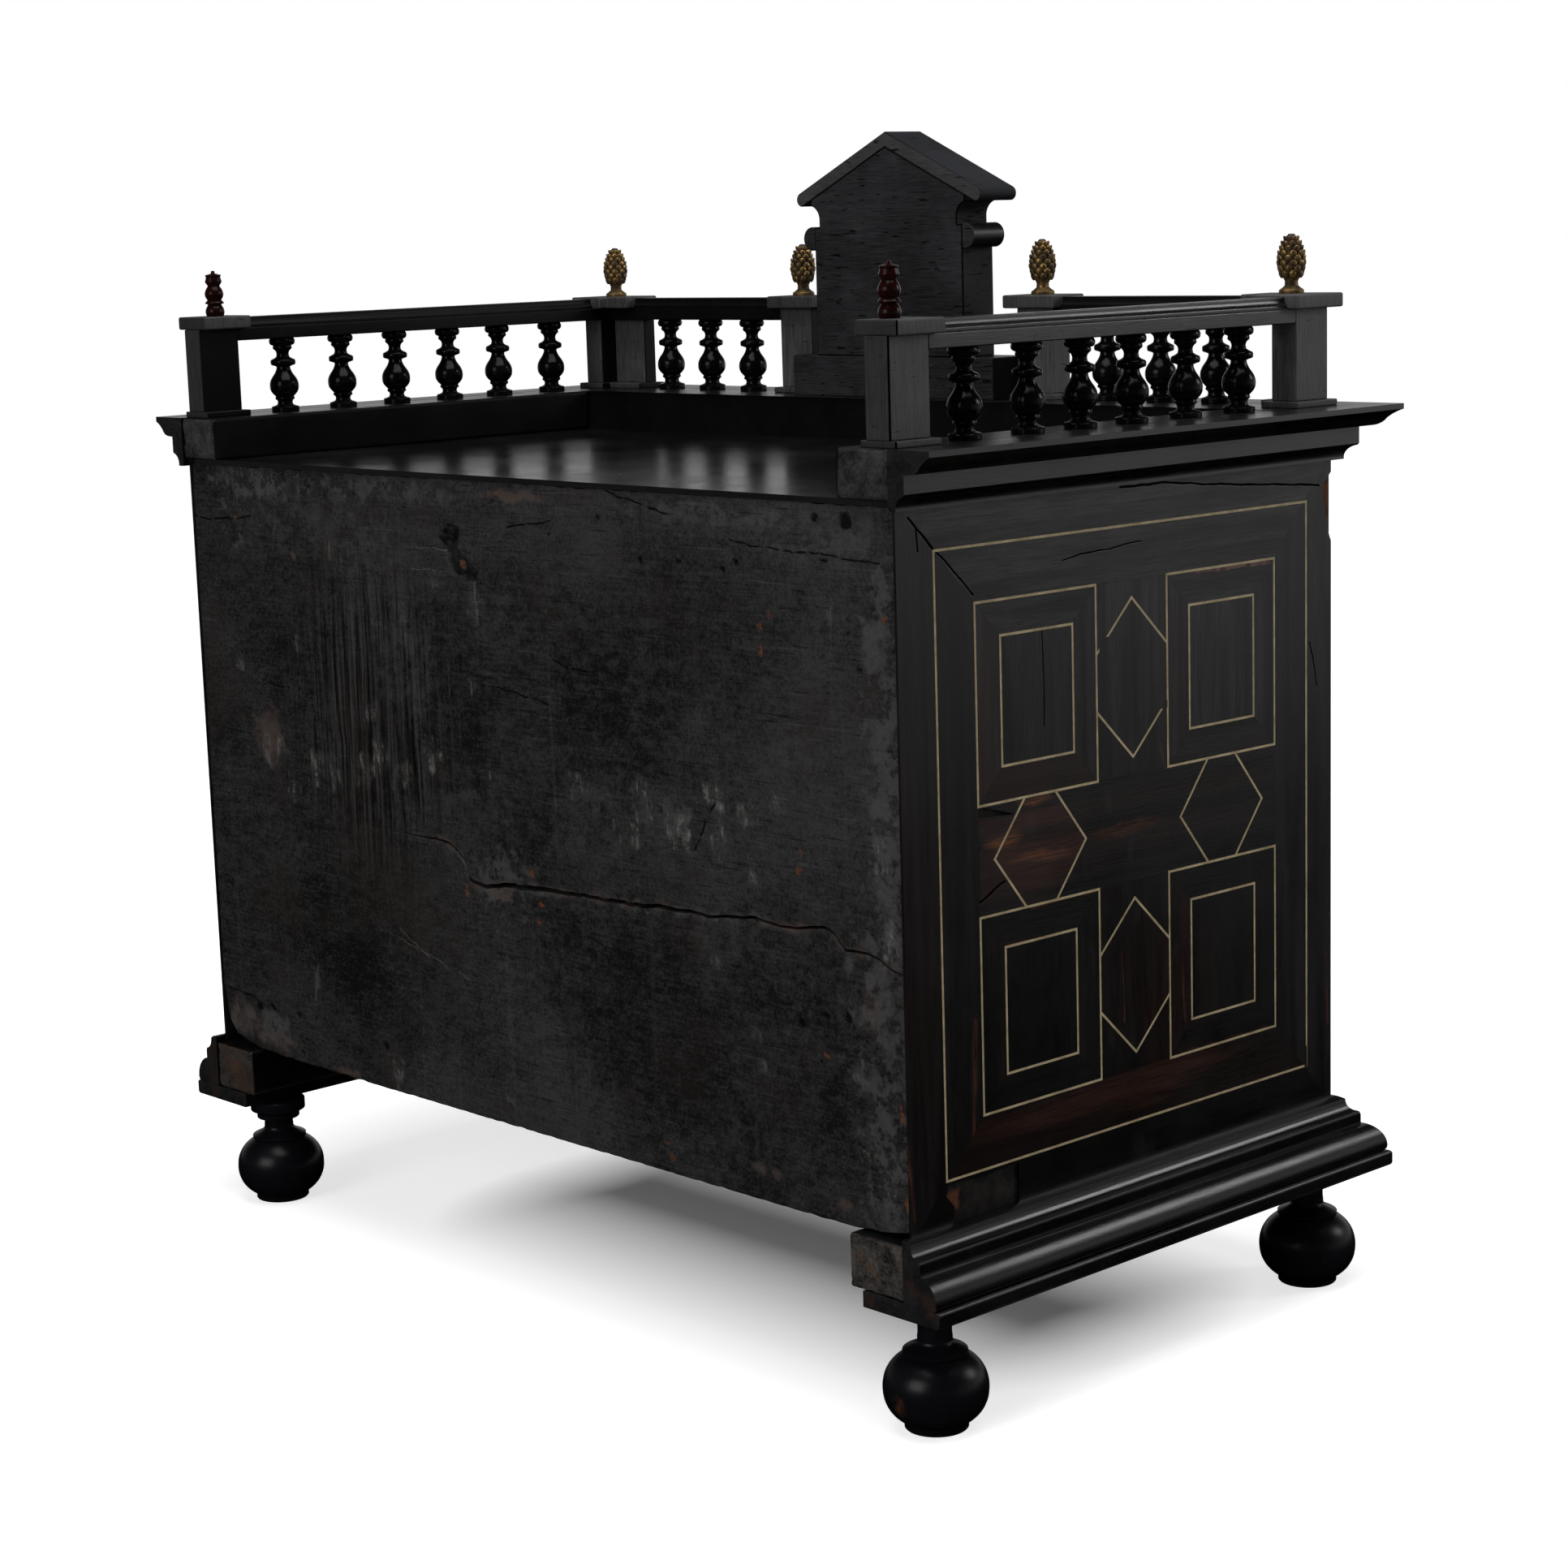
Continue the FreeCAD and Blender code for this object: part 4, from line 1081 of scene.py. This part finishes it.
def makeGild(name, look, grime):
    paint = Finish(name)
    cloud = paint.speckle(paint.place, 130.0, detail=6.0, roughness=0.7)
    fine = paint.speckle(paint.place, 700.0)
    colour = paint.mix(paint.spread(cloud, 0.35, 0.65), look["dull"], look["bright"])
    dirt = paint.times(paint.spread(paint.plus(cloud, fine, 0.4), 0.85, 0.55), grime)
    paint.feed(paint.shader["Metallic"], paint.spread(dirt, 0.0, 1.0, *look["metallic"]))
    rough = paint.spread(dirt, 0.0, 1.0, *look["roughness"])
    return paint.surface(look, paint.over(colour, look["grime"], dirt), rough, fine)


gildedBronze = makeGild("gildedBronze", gildLook, 0.95)
coneGap = makeGild("coneGap", dict(gildLook, bright=(0.05, 0.03, 0.012), dull=(0.012, 0.008, 0.004)), 1.0)
oldBrass = makeGild("oldBrass", dict(gildLook, bright=(0.42, 0.29, 0.12)), 0.45)
print("woods and metals made")


# flat-sided pieces: a merged copy of the solid with its edges eased
# each entry is the width of the eased edge in mm, the finish, that of the edges and that of the rear ends
easedPieces = {
    "gallery_posts": (0.9, postWood, postWood, None),
    "post_caps": (1.3, capWood, capWood, None),
    "post_bases": (0.8, postBaseWood, postBaseWood, None),
    "handrails": (0.8, railWood, ebonyEdge, None),
    "rail_cappings": (0.5, ebonyAlongY, ebonyAlongY, None),
    # the crest body's and roof's eased edges are black: a painted shadow line in their corners
    "crest_body": (1.0, crestWood, jointBlack, None),
    "crest_mouldings": (0.9, crestMoulded, ebonyEdge, crestWood),
    "crest_roof": (1.2, crestRoofWood, jointBlack, gableWood),
    "plinth_strip": (0.9, ebonyAlongY, ebonyEdge, darkEnd),
    "crown_moulding": (0.8, ebonyAlongY, ebonyEdge, darkEnd),
    "bed_moulding": (0.5, ebonyAlongY, ebonyEdge, darkEnd),
    "base_moulding": (0.5, ovoloEbony, ebonyEdge, darkEnd),
    "base_torus": (0.5, torusEbony, torusEbony, darkEnd),
    "cornice_blocks": (2.6, ebonyAlongY, ebonyEdge, sawnEnd),
    "base_blocks": (2.6, ebonyAlongY, ebonyEdge, sawnEnd),
}
for node in frame["nodes"]:
    if node.endswith("_front") or node == "door_panel":
        easedPieces[node] = (0.7, frontVeneer, ebonyEdge, None)
# in mm and degrees; a tilt is the least part of a face's normal along Y
easing = {"segments": 2, "angle": 28, "smooth": 32, "rearWithin": 4, "rearTilt": 0.55}
# pieces given a duller, less glossy copy of the ebony on their faces towards the inside of the gallery, as
# painted shade there; along these axes
shadeInside = {"gallery_posts": "x", "post_bases": "x", "handrails": "xy", "rail_cappings": "xy",
               "cornice_blocks": "xy"}
innerTurn = {"sideways": -0.1, "rearward": 0.5, "frontY": -0.1}
# the sawn ends of these pieces are cut into a grid and dented, in mm
roughEnds = {"nodes": ("base_blocks", "cornice_blocks"), "step": 3.6, "deep": 2.2, "level": 0.3, "most": 1.5}


def facesInside(face, axes):
    if face.normal.x * face.center.x < innerTurn["sideways"]:
        return True
    return "y" in axes and face.normal.y > innerTurn["rearward"] and face.center.y < innerTurn["frontY"]


def sawnFaces(piece, side):
    return [face for face in piece.data.polygons
            if face.material_index == rearSlot and face.center.x * side > 0]


def cutAcross(piece, side, axis):
    places = [piece.data.vertices[k].co[axis] for face in sawnFaces(piece, side) for k in face.vertices]
    low, high = min(places), max(places)
    cuts = int((high - low) / (roughEnds["step"] * mm))
    across = Vector((0, 0, 0))
    across[axis] = 1
    for k in range(1, cuts):
        editAll(piece)
        bpy.ops.mesh.select_all(action="DESELECT")
        bpy.ops.mesh.select_mode(type="FACE")
        leaveEdit()
        for face in sawnFaces(piece, side):
            face.select = True
        bpy.ops.object.mode_set(mode="EDIT")
        bpy.ops.mesh.bisect(plane_co=across * (low + (high - low) * k / cuts), plane_no=across)
        bpy.ops.mesh.select_mode(type="VERT")
        leaveEdit()


def roughenEnds(piece):
    for side in (-1, 1):
        cutAcross(piece, side, 0)
        cutAcross(piece, side, 2)
        for k in {k for face in sawnFaces(piece, side) for k in face.vertices}:
            spot = piece.data.vertices[k].co
            x, z = spot.x / mm, spot.z / mm
            dent = roughEnds["level"] + ripple(x, z, "sawn") + 0.5 * ripple(x, z, "sawnFine")
            spot.y -= min(max(dent, 0.0), roughEnds["most"]) * roughEnds["deep"] * mm


def easeEdges(node, width, finish, edgeFinish, rearFinish):
    piece = copySolid(node)
    dress(piece, finish, edgeFinish, rearFinish or finish, innerEbony)
    easeSharp(piece, width, easing["segments"], easing["angle"])
    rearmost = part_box(node)[1][1] - easing["rearWithin"] * mm
    for face in piece.data.polygons:
        if rearFinish and face.normal.y > easing["rearTilt"] and face.center.y > rearmost:
            face.material_index = rearSlot
        if node in shadeInside and facesInside(face, shadeInside[node]):
            face.material_index = shadedInnerSlot
    if node in roughEnds["nodes"]:
        roughenEnds(piece)
    smoothBy(piece, easing["smooth"], weighted=True)
    standFor(piece, node)


for node, settings in easedPieces.items():
    easeEdges(node, *settings)
print("eased pieces made")

# the grey-brown wood under the veneer, rusty where it is chipped and black on the front edge; in mm
bareLook = {"rust": (0.13, 0.042, 0.016), "rustSpots": [((-216, 200), (9, 30)), ((184, -222), (8, 8))],
            "rustDeep": 4, "dirt": (0.007, 0.0055, 0.005), "dirtShare": 0.8, "front": (0.0035, 0.0031, 0.003),
            "frontDeep": (1.5, 0.9), "roughness": 0.75, "specular": 0.2, "bump": (0.6, 1.5)}


def makeBareSide(look):
    paint = Finish("bareSide")
    cloud = paint.speckle(paint.place, 90.0, detail=7.0, roughness=0.75)
    colour = paint.mix(paint.spread(cloud, 0.4, 0.62), sawnLook["dark"], sawnLook["end"])
    colour = paint.over(colour, look["dirt"], look["dirtShare"])
    centred = panelPlace(paint)
    spots = [panelSpot(paint, centred, *spot, 0.4, "Square", panelMiddle.x, look["rustDeep"] * mm)
             for spot in look["rustSpots"]]
    colour = paint.over(colour, look["rust"], paint.most(*spots), paint.spread(cloud, 0.35, 0.55))
    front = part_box("side_boards")[0][1]
    onFront = paint.spread(paint.parts(paint.place)[1], *(front + deep * mm for deep in look["frontDeep"]))
    return paint.surface(look, paint.over(colour, look["front"], onFront), look["roughness"], cloud)


dress(frame["nodes"]["top_board"], polishedTop)
dress(frame["nodes"]["side_boards"], makeBareSide(bareLook))
for node in ("bottom_board", "partitions", "dust_boards", "cupboard_shelf"):
    dress(frame["nodes"][node], carcaseWood)
for node in frame["nodes"]:
    if node.endswith("_box"):
        dress(frame["nodes"][node], drawerWood)
dress(frame["nodes"]["door_pivots"], oldBrass)


# turned pieces, profiles and places in mm from the middle of the carcase
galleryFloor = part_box("cornice_blocks")[1][2]
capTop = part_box("post_caps")[1][2]
baluster = {
    "profile": [(0, 0), (10.8, 0), (11.3, 0.5), (11.3, 3.5), (10.7, 4.1), (6.6, 5.6, -0.3), (6.0, 7.2),
                (6.4, 9.0), (7.8, 10.0), (8.0, 10.7), (7.7, 11.5), (7.4, 12.2), (11.8, 20.4, 1.35),
                (9.4, 28.0, 0.75), (5.7, 34.6, -0.45), (5.6, 36.2), (9.4, 37.6, -0.3), (10.1, 38.4),
                (10.2, 39.9), (10.1, 41.2), (9.4, 42.0), (5.4, 44.2, -0.4), (5.0, 46.2), (5.4, 48.4, -0.1),
                (7.4, 50.4, -0.3), (7.8, 51.2), (7.7, 52.4), (7.4, 53.2), (9.6, 54.2, 0.3),
                (10.5, 56.2, 0.25), (10.0, 58.6, 0.25), (9.4, 59.5), (0, 59.5)],
    "sides": 28, "steps": 5, "left": (142, 82.5, 31, -21, -77.5, -135),
    "right": (135.5, 78, 23, -32.5, -86, -144), "front": (198.3, 250.5, 303.2), "railX": 386.0,
    "frontY": -211.75,
}


def spotAt(x, y, z):
    return (x * mm, carcaseY + y * mm, z)


def setTurned(name, node, shape, spots, finish):
    oneOf = turnOnLathe("one" + name.capitalize(), shape["profile"], shape["sides"], steps=shape["steps"])
    piece = placeCopies(oneOf, spots, name)
    dress(piece, finish)
    standFor(piece, node)


spotsOnRails = [spotAt(-baluster["railX"], y, galleryFloor) for y in baluster["left"]]
spotsOnRails += [spotAt(baluster["railX"], y, galleryFloor) for y in baluster["right"]]
spotsOnRails += [spotAt(side * x, baluster["frontY"], galleryFloor)
                 for side in (-1, 1) for x in baluster["front"]]
setTurned("balusters", "balusters", baluster, spotsOnRails, turnedEbony)

bunFoot = {
    "ring": [(0, 0), (20.8, 0), (21.5, 0.8), (21.5, 5.4), (21.9, 6.0)],
    "ball": (35.5, 27.8, 28.0), "fullness": 2.2, "ballLow": 6.2, "ballHigh": 51.0, "ballSteps": 20,
    "collar": [(20.2, 51.5), (21.8, 52.1), (21.9, 54.1), (21.2, 54.6), (11.9, 62.6, -3.2), (11.5, 66.0)],
    "plainNeck": [(11.6, 84.3), (0, 84.3)],
    "ringedNeck": [(12.4, 67.6), (16.8, 68.8, -0.2), (17.4, 69.4), (17.4, 73.0), (18.4, 74.0),
                   (22.0, 75.6, -0.2), (22.4, 76.2), (22.4, 83.7), (21.8, 84.3), (0, 84.3)],
    "sides": 48, "steps": 7, "left": -393, "right": 368, "y": (-202, 195),
}


def footProfile(shape, neck):
    # the ball is part of an oval, a little fuller than an ellipse: its radius, half height and middle height
    radius, half, middle = shape["ball"]
    full = shape["fullness"]
    low, high = (math.asin((z - middle) / half) for z in (shape["ballLow"], shape["ballHigh"]))
    turns = [low + (high - low) * k / shape["ballSteps"] for k in range(shape["ballSteps"] + 1)]
    heights = [math.sin(turn) for turn in turns]
    ball = [(radius * (1 - abs(z) ** full) ** (1 / full), middle + half * z) for z in heights]
    return shape["ring"] + ball + shape["collar"] + shape[neck]


def makeFeet(side, neck):
    oneFoot = turnOnLathe("oneFoot", footProfile(bunFoot, neck), bunFoot["sides"], steps=bunFoot["steps"])
    return placeCopies(oneFoot, [spotAt(bunFoot[side], y, 0) for y in bunFoot["y"]], side + "Feet")


# the necks on the left are plain, those on the right have rings under the strip
bunFeet = joinPieces([makeFeet("left", "plainNeck"), makeFeet("right", "ringedNeck")], "bunFeet")
dress(bunFeet, footEbony)
standFor(bunFeet, "bun_feet")

spindle = {
    "profile": [(0, 0), (6.5, 0), (7.6, 3.4, 0.2), (5.5, 8.8, 0.5), (5.6, 9.4), (7.5, 10.2), (7.5, 10.8),
                (5.5, 12.8), (7.5, 17.8, 0.5), (4.7, 23.8, 0.5), (5.0, 24.6), (6.7, 27.2, 0.1), (5.7, 30.8),
                (6.3, 32.0), (6.2, 32.6), (1.7, 33.8), (1.4, 35.6), (0, 36.0)],
    "sides": 28, "steps": 5, "x": 380, "y": 201.5,
}
setTurned("turnedFinials", "turned_finials", spindle,
          [spotAt(side * spindle["x"], spindle["y"], capTop) for side in (-1, 1)], redWood)
print("turned pieces made")


# pine cones: a turned core with rows of pointed scales, each row half a scale on from the last
pineCone = {
    "core": [(0, 0), (8.8, 0), (9.0, 0.5), (9.0, 2.2), (8.4, 2.8), (4.9, 5.5, -0.2), (4.7, 8.5),
             (7.2, 12.6, -0.3), (8.9, 19.5, 0.3), (6.8, 33.0, 0.8), (4.2, 39.0, 0.2), (2.0, 41.8, 0.2),
             (0, 42.0)],
    "sides": 24, "steps": 5, "rows": 8, "perRow": 8, "low": 13.5, "high": 38.2, "scale": (3.1, 1.5, 3.5),
    "lean": 20, "scaleSides": 8, "scaleRings": 5, "smallest": 0.45, "widest": 9.4, "gapFrom": 11.5,
    "smooth": 45, "radiusSteps": 6, "corner": (373, -211), "inner": (133.5, -211.75),
}


def coneRadius(z):
    points = stretches(pineCone["core"], pineCone["radiusSteps"])
    return next(r0 + (r1 - r0) * (z - z0) / (z1 - z0) for (r0, z0), (r1, z1) in zip(points, points[1:])
                if z0 <= z <= z1 and z1 > z0)


def makeScale(row, k):
    shape = pineCone
    wide, thick, tall = shape["scale"]
    z = shape["low"] + (shape["high"] - shape["low"]) * row / (shape["rows"] - 1)
    radius = coneRadius(z)
    size = shape["smallest"] + (1 - shape["smallest"]) * radius / shape["widest"]
    angle = 2 * math.pi * (k + 0.5 * (row % 2)) / shape["perRow"]
    dropSelection()
    bpy.ops.mesh.primitive_uv_sphere_add(segments=shape["scaleSides"], ring_count=shape["scaleRings"])
    scale = bpy.context.object
    scale.scale = (thick * size * mm, wide * size * mm, tall * size * mm)
    bpy.ops.object.transform_apply(location=False, rotation=False, scale=True)
    turned = Matrix.Rotation(angle, 4, "Z") @ Matrix.Translation((radius * mm, 0, z * mm))
    scale.data.transform(turned @ Matrix.Rotation(math.radians(shape["lean"]), 4, "Y"))
    dress(scale, gildedBronze)
    return scale


def makePineCone():
    shape = pineCone
    core = turnOnLathe("coneCore", shape["core"], shape["sides"], steps=shape["steps"])
    dress(core, gildedBronze, coneGap)
    for face in core.data.polygons:
        face.material_index = 1 if face.center.z > shape["gapFrom"] * mm else 0
    scales = [makeScale(row, k) for row in range(shape["rows"]) for k in range(shape["perRow"])]
    cone = joinPieces([core] + scales, "oneCone")
    smoothBy(cone, shape["smooth"])
    return cone


coneSpots = [spotAt(side * x, y, capTop)
             for side in (-1, 1) for x, y in (pineCone["corner"], pineCone["inner"])]
pineCones = placeCopies(makePineCone(), coneSpots, "pineCones")
standFor(pineCones, "pinecone_finials")
print("pine cones made,", len(pineCones.data.polygons), "faces")


# knobs, turned about Z and laid to point out of the front
knob = {
    "profile": [(0, 0), (6.8, 0), (7.0, 0.4), (7.0, 1.3), (5.6, 2.0), (3.5, 4.2, -0.5), (3.5, 5.2),
                (6.9, 9.2, 0.8), (3.0, 13.1, 1.1), (0, 13.5)],
    "sides": 28,
}
for node in sorted(frame["nodes"]):
    if node.endswith("_knob"):
        low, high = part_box(node)
        oneKnob = turnOnLathe(pieceName(node), knob["profile"], knob["sides"])
        turnIn = Matrix.Translation(((low[0] + high[0]) / 2, high[1], (low[2] + high[2]) / 2))
        oneKnob.data.transform(turnIn @ Matrix.Rotation(math.radians(90), 4, "X"))
        dress(oneKnob, oldBrass)
        standFor(oneKnob, node)
print("knobs made")


# camera where the photograph was taken from, and a white studio; in metres, radians and mm of lens
view = {"place": (-1.7988, 1.6198, 0.7917), "yaw": 0.8229, "pitch": -0.1763, "roll": -0.0304, "lens": 72.92,
        "sensor": 36, "farthest": 50}


def makeCamera():
    camera = bpy.data.objects.new("camera", bpy.data.cameras.new("camera"))
    bpy.context.collection.objects.link(camera)
    camera.data.lens = view["lens"]
    camera.data.sensor_width = view["sensor"]
    camera.data.clip_end = view["farthest"]
    yaw, pitch, roll = view["yaw"], view["pitch"], view["roll"]
    ahead = Vector((math.cos(pitch) * math.sin(yaw), -math.cos(pitch) * math.cos(yaw), math.sin(pitch)))
    across = ahead.cross(Vector((0, 0, 1))).normalized()
    upward = across.cross(ahead)
    c, s = math.cos(roll), math.sin(roll)
    right = across * c + upward * s
    top = upward * c - across * s
    place = Vector(view["place"]) + Vector((0, carcaseY, 0))
    turned = Matrix((right, top, -ahead)).transposed().to_4x4()
    camera.matrix_world = Matrix.Translation(place) @ turned
    bpy.context.scene.camera = camera


makeCamera()

# the floor glows more with the distance: seen directly, from a dark core under the cabinet, which is a
# painted shadow; seen mirrored, from the middle, which is a painted reflection that stays dark near the
# cabinet; in metres
studio = {"floorSize": 14, "floorTint": 0.7, "coreMiddle": (-0.07, 0.0), "coreHalf": (0.235, 0.02),
          "coreFade": (0.11, 0.17), "coreGlow": (0.05, 0.72), "farGlow": (0.0, 0.28), "farReach": (0.45, 0.8),
          "mirrorGlow": (0.0, 0.9), "mirrorReach": (2.3, 6.5), "skyMirror": (0.75, 0.03),
          "skyReach": (0.04, 0.42), "brightSide": (0.09, -0.996, 0.0), "brightTurn": (-0.25, 0.6),
          "dimSide": 0.1, "worldLight": 0.12}
lamps = [
    {"name": "overhead", "place": (-0.3, 0.1, 2.6), "aim": (0, 0, 0.4), "size": (2.2, 1.8), "power": 46},
    {"name": "sideKey", "place": (-1.9, -2.2, 1.65), "aim": (-0.4, 0, 0.4), "size": (0.8, 0.9), "power": 15},
    {"name": "rearFill", "place": (-0.3, 3.2, 1.5), "aim": (0.1, 0.2, 0.4), "size": (1.8, 1.6), "power": 32},
]


def brightness(paint, direction):
    # full on the bright side of the studio, dim on the other
    facing = paint.vector("DOT_PRODUCT", direction, studio["brightSide"], output=1)
    return paint.spread(facing, *studio["brightTurn"], studio["dimSide"], 1.0)


def rayKinds(paint):
    rays = paint.put("LightPath", {})
    return paint.most(rays["Is Camera Ray"], rays["Is Transmission Ray"]), rays["Is Glossy Ray"]


def makeFloor():
    dropSelection()
    bpy.ops.mesh.primitive_plane_add(size=studio["floorSize"], location=(0, 0, 0))
    floor = bpy.context.object
    floor.name = "floor"
    paint = Finish("studioFloor")
    paint.tree.nodes.remove(paint.tree.nodes["Principled BSDF"])
    far = paint.vector("LENGTH", paint.place, output=1)
    # painted shadow: the glow seen directly is least in the core under the cabinet
    steps = []
    for part, middle, half, soft in zip(paint.parts(paint.place), studio["coreMiddle"], studio["coreHalf"],
                                        studio["coreFade"]):
        away = paint.calc("ABSOLUTE", paint.calc("SUBTRACT", part, middle))
        steps.append(paint.calc("POWER", paint.spread(away, half, half + soft), 2.0))
    past = paint.calc("SQRT", paint.calc("ADD", *steps))
    glow = paint.calc("ADD", paint.spread(past, 0.0, 1.0, *studio["coreGlow"]),
                      paint.spread(far, *studio["farReach"], *studio["farGlow"]))
    # painted reflection: the floor seen in reflections glows only far from the middle, on the bright side
    mirrored = paint.times(paint.spread(far, *studio["mirrorReach"], *studio["mirrorGlow"]),
                           brightness(paint, paint.vector("NORMALIZE", paint.place)))
    matt = paint.put("BsdfDiffuse", {"Color": (studio["floorTint"],) * 3})[0]
    lit = paint.put("AddShader", {0: matt, 1: paint.put("Emission", {"Strength": glow})[0]})[0]
    seen, glossy = rayKinds(paint)
    first = paint.put("MixShader", {0: seen, 1: matt, 2: lit})[0]
    mirror = paint.put("Emission", {"Strength": mirrored})[0]
    choice = paint.put("MixShader", {0: glossy, 1: first, 2: mirror})[0]
    paint.feed(paint.tree.nodes["Material Output"].inputs["Surface"], choice)
    dress(floor, paint.material)


def makeSky():
    world = bpy.context.scene.world or bpy.data.worlds.new("studio")
    bpy.context.scene.world = world
    world.use_nodes = True
    sky = Nodes(world.node_tree)
    seen, glossy = rayKinds(sky)
    ray = sky.put("TexCoord", {})["Generated"]
    mirror = sky.spread(sky.parts(ray)[2], *studio["skyReach"], *studio["skyMirror"])
    mirror = sky.times(mirror, brightness(sky, ray))
    strength = sky.spread(glossy, 0.0, 1.0, studio["worldLight"], mirror)
    light = world.node_tree.nodes["Background"].inputs
    sky.feed(light["Color"], (1, 1, 1))
    sky.feed(light["Strength"], sky.most(strength, seen))


def hangLamp(lamp):
    data = bpy.data.lights.new(lamp["name"], "AREA")
    data.shape = "RECTANGLE"
    data.size, data.size_y = lamp["size"]
    data.energy = lamp["power"]
    made = bpy.data.objects.new(lamp["name"], data)
    bpy.context.collection.objects.link(made)
    made.location = lamp["place"]
    made.visible_camera = False
    aim = Vector(lamp["aim"]) - Vector(lamp["place"])
    made.rotation_euler = aim.to_track_quat("-Z", "Y").to_euler()


makeFloor()
makeSky()
for lamp in lamps:
    hangLamp(lamp)
bpy.context.scene.view_settings.view_transform = "Standard"
print("studio made")

dropSelection()
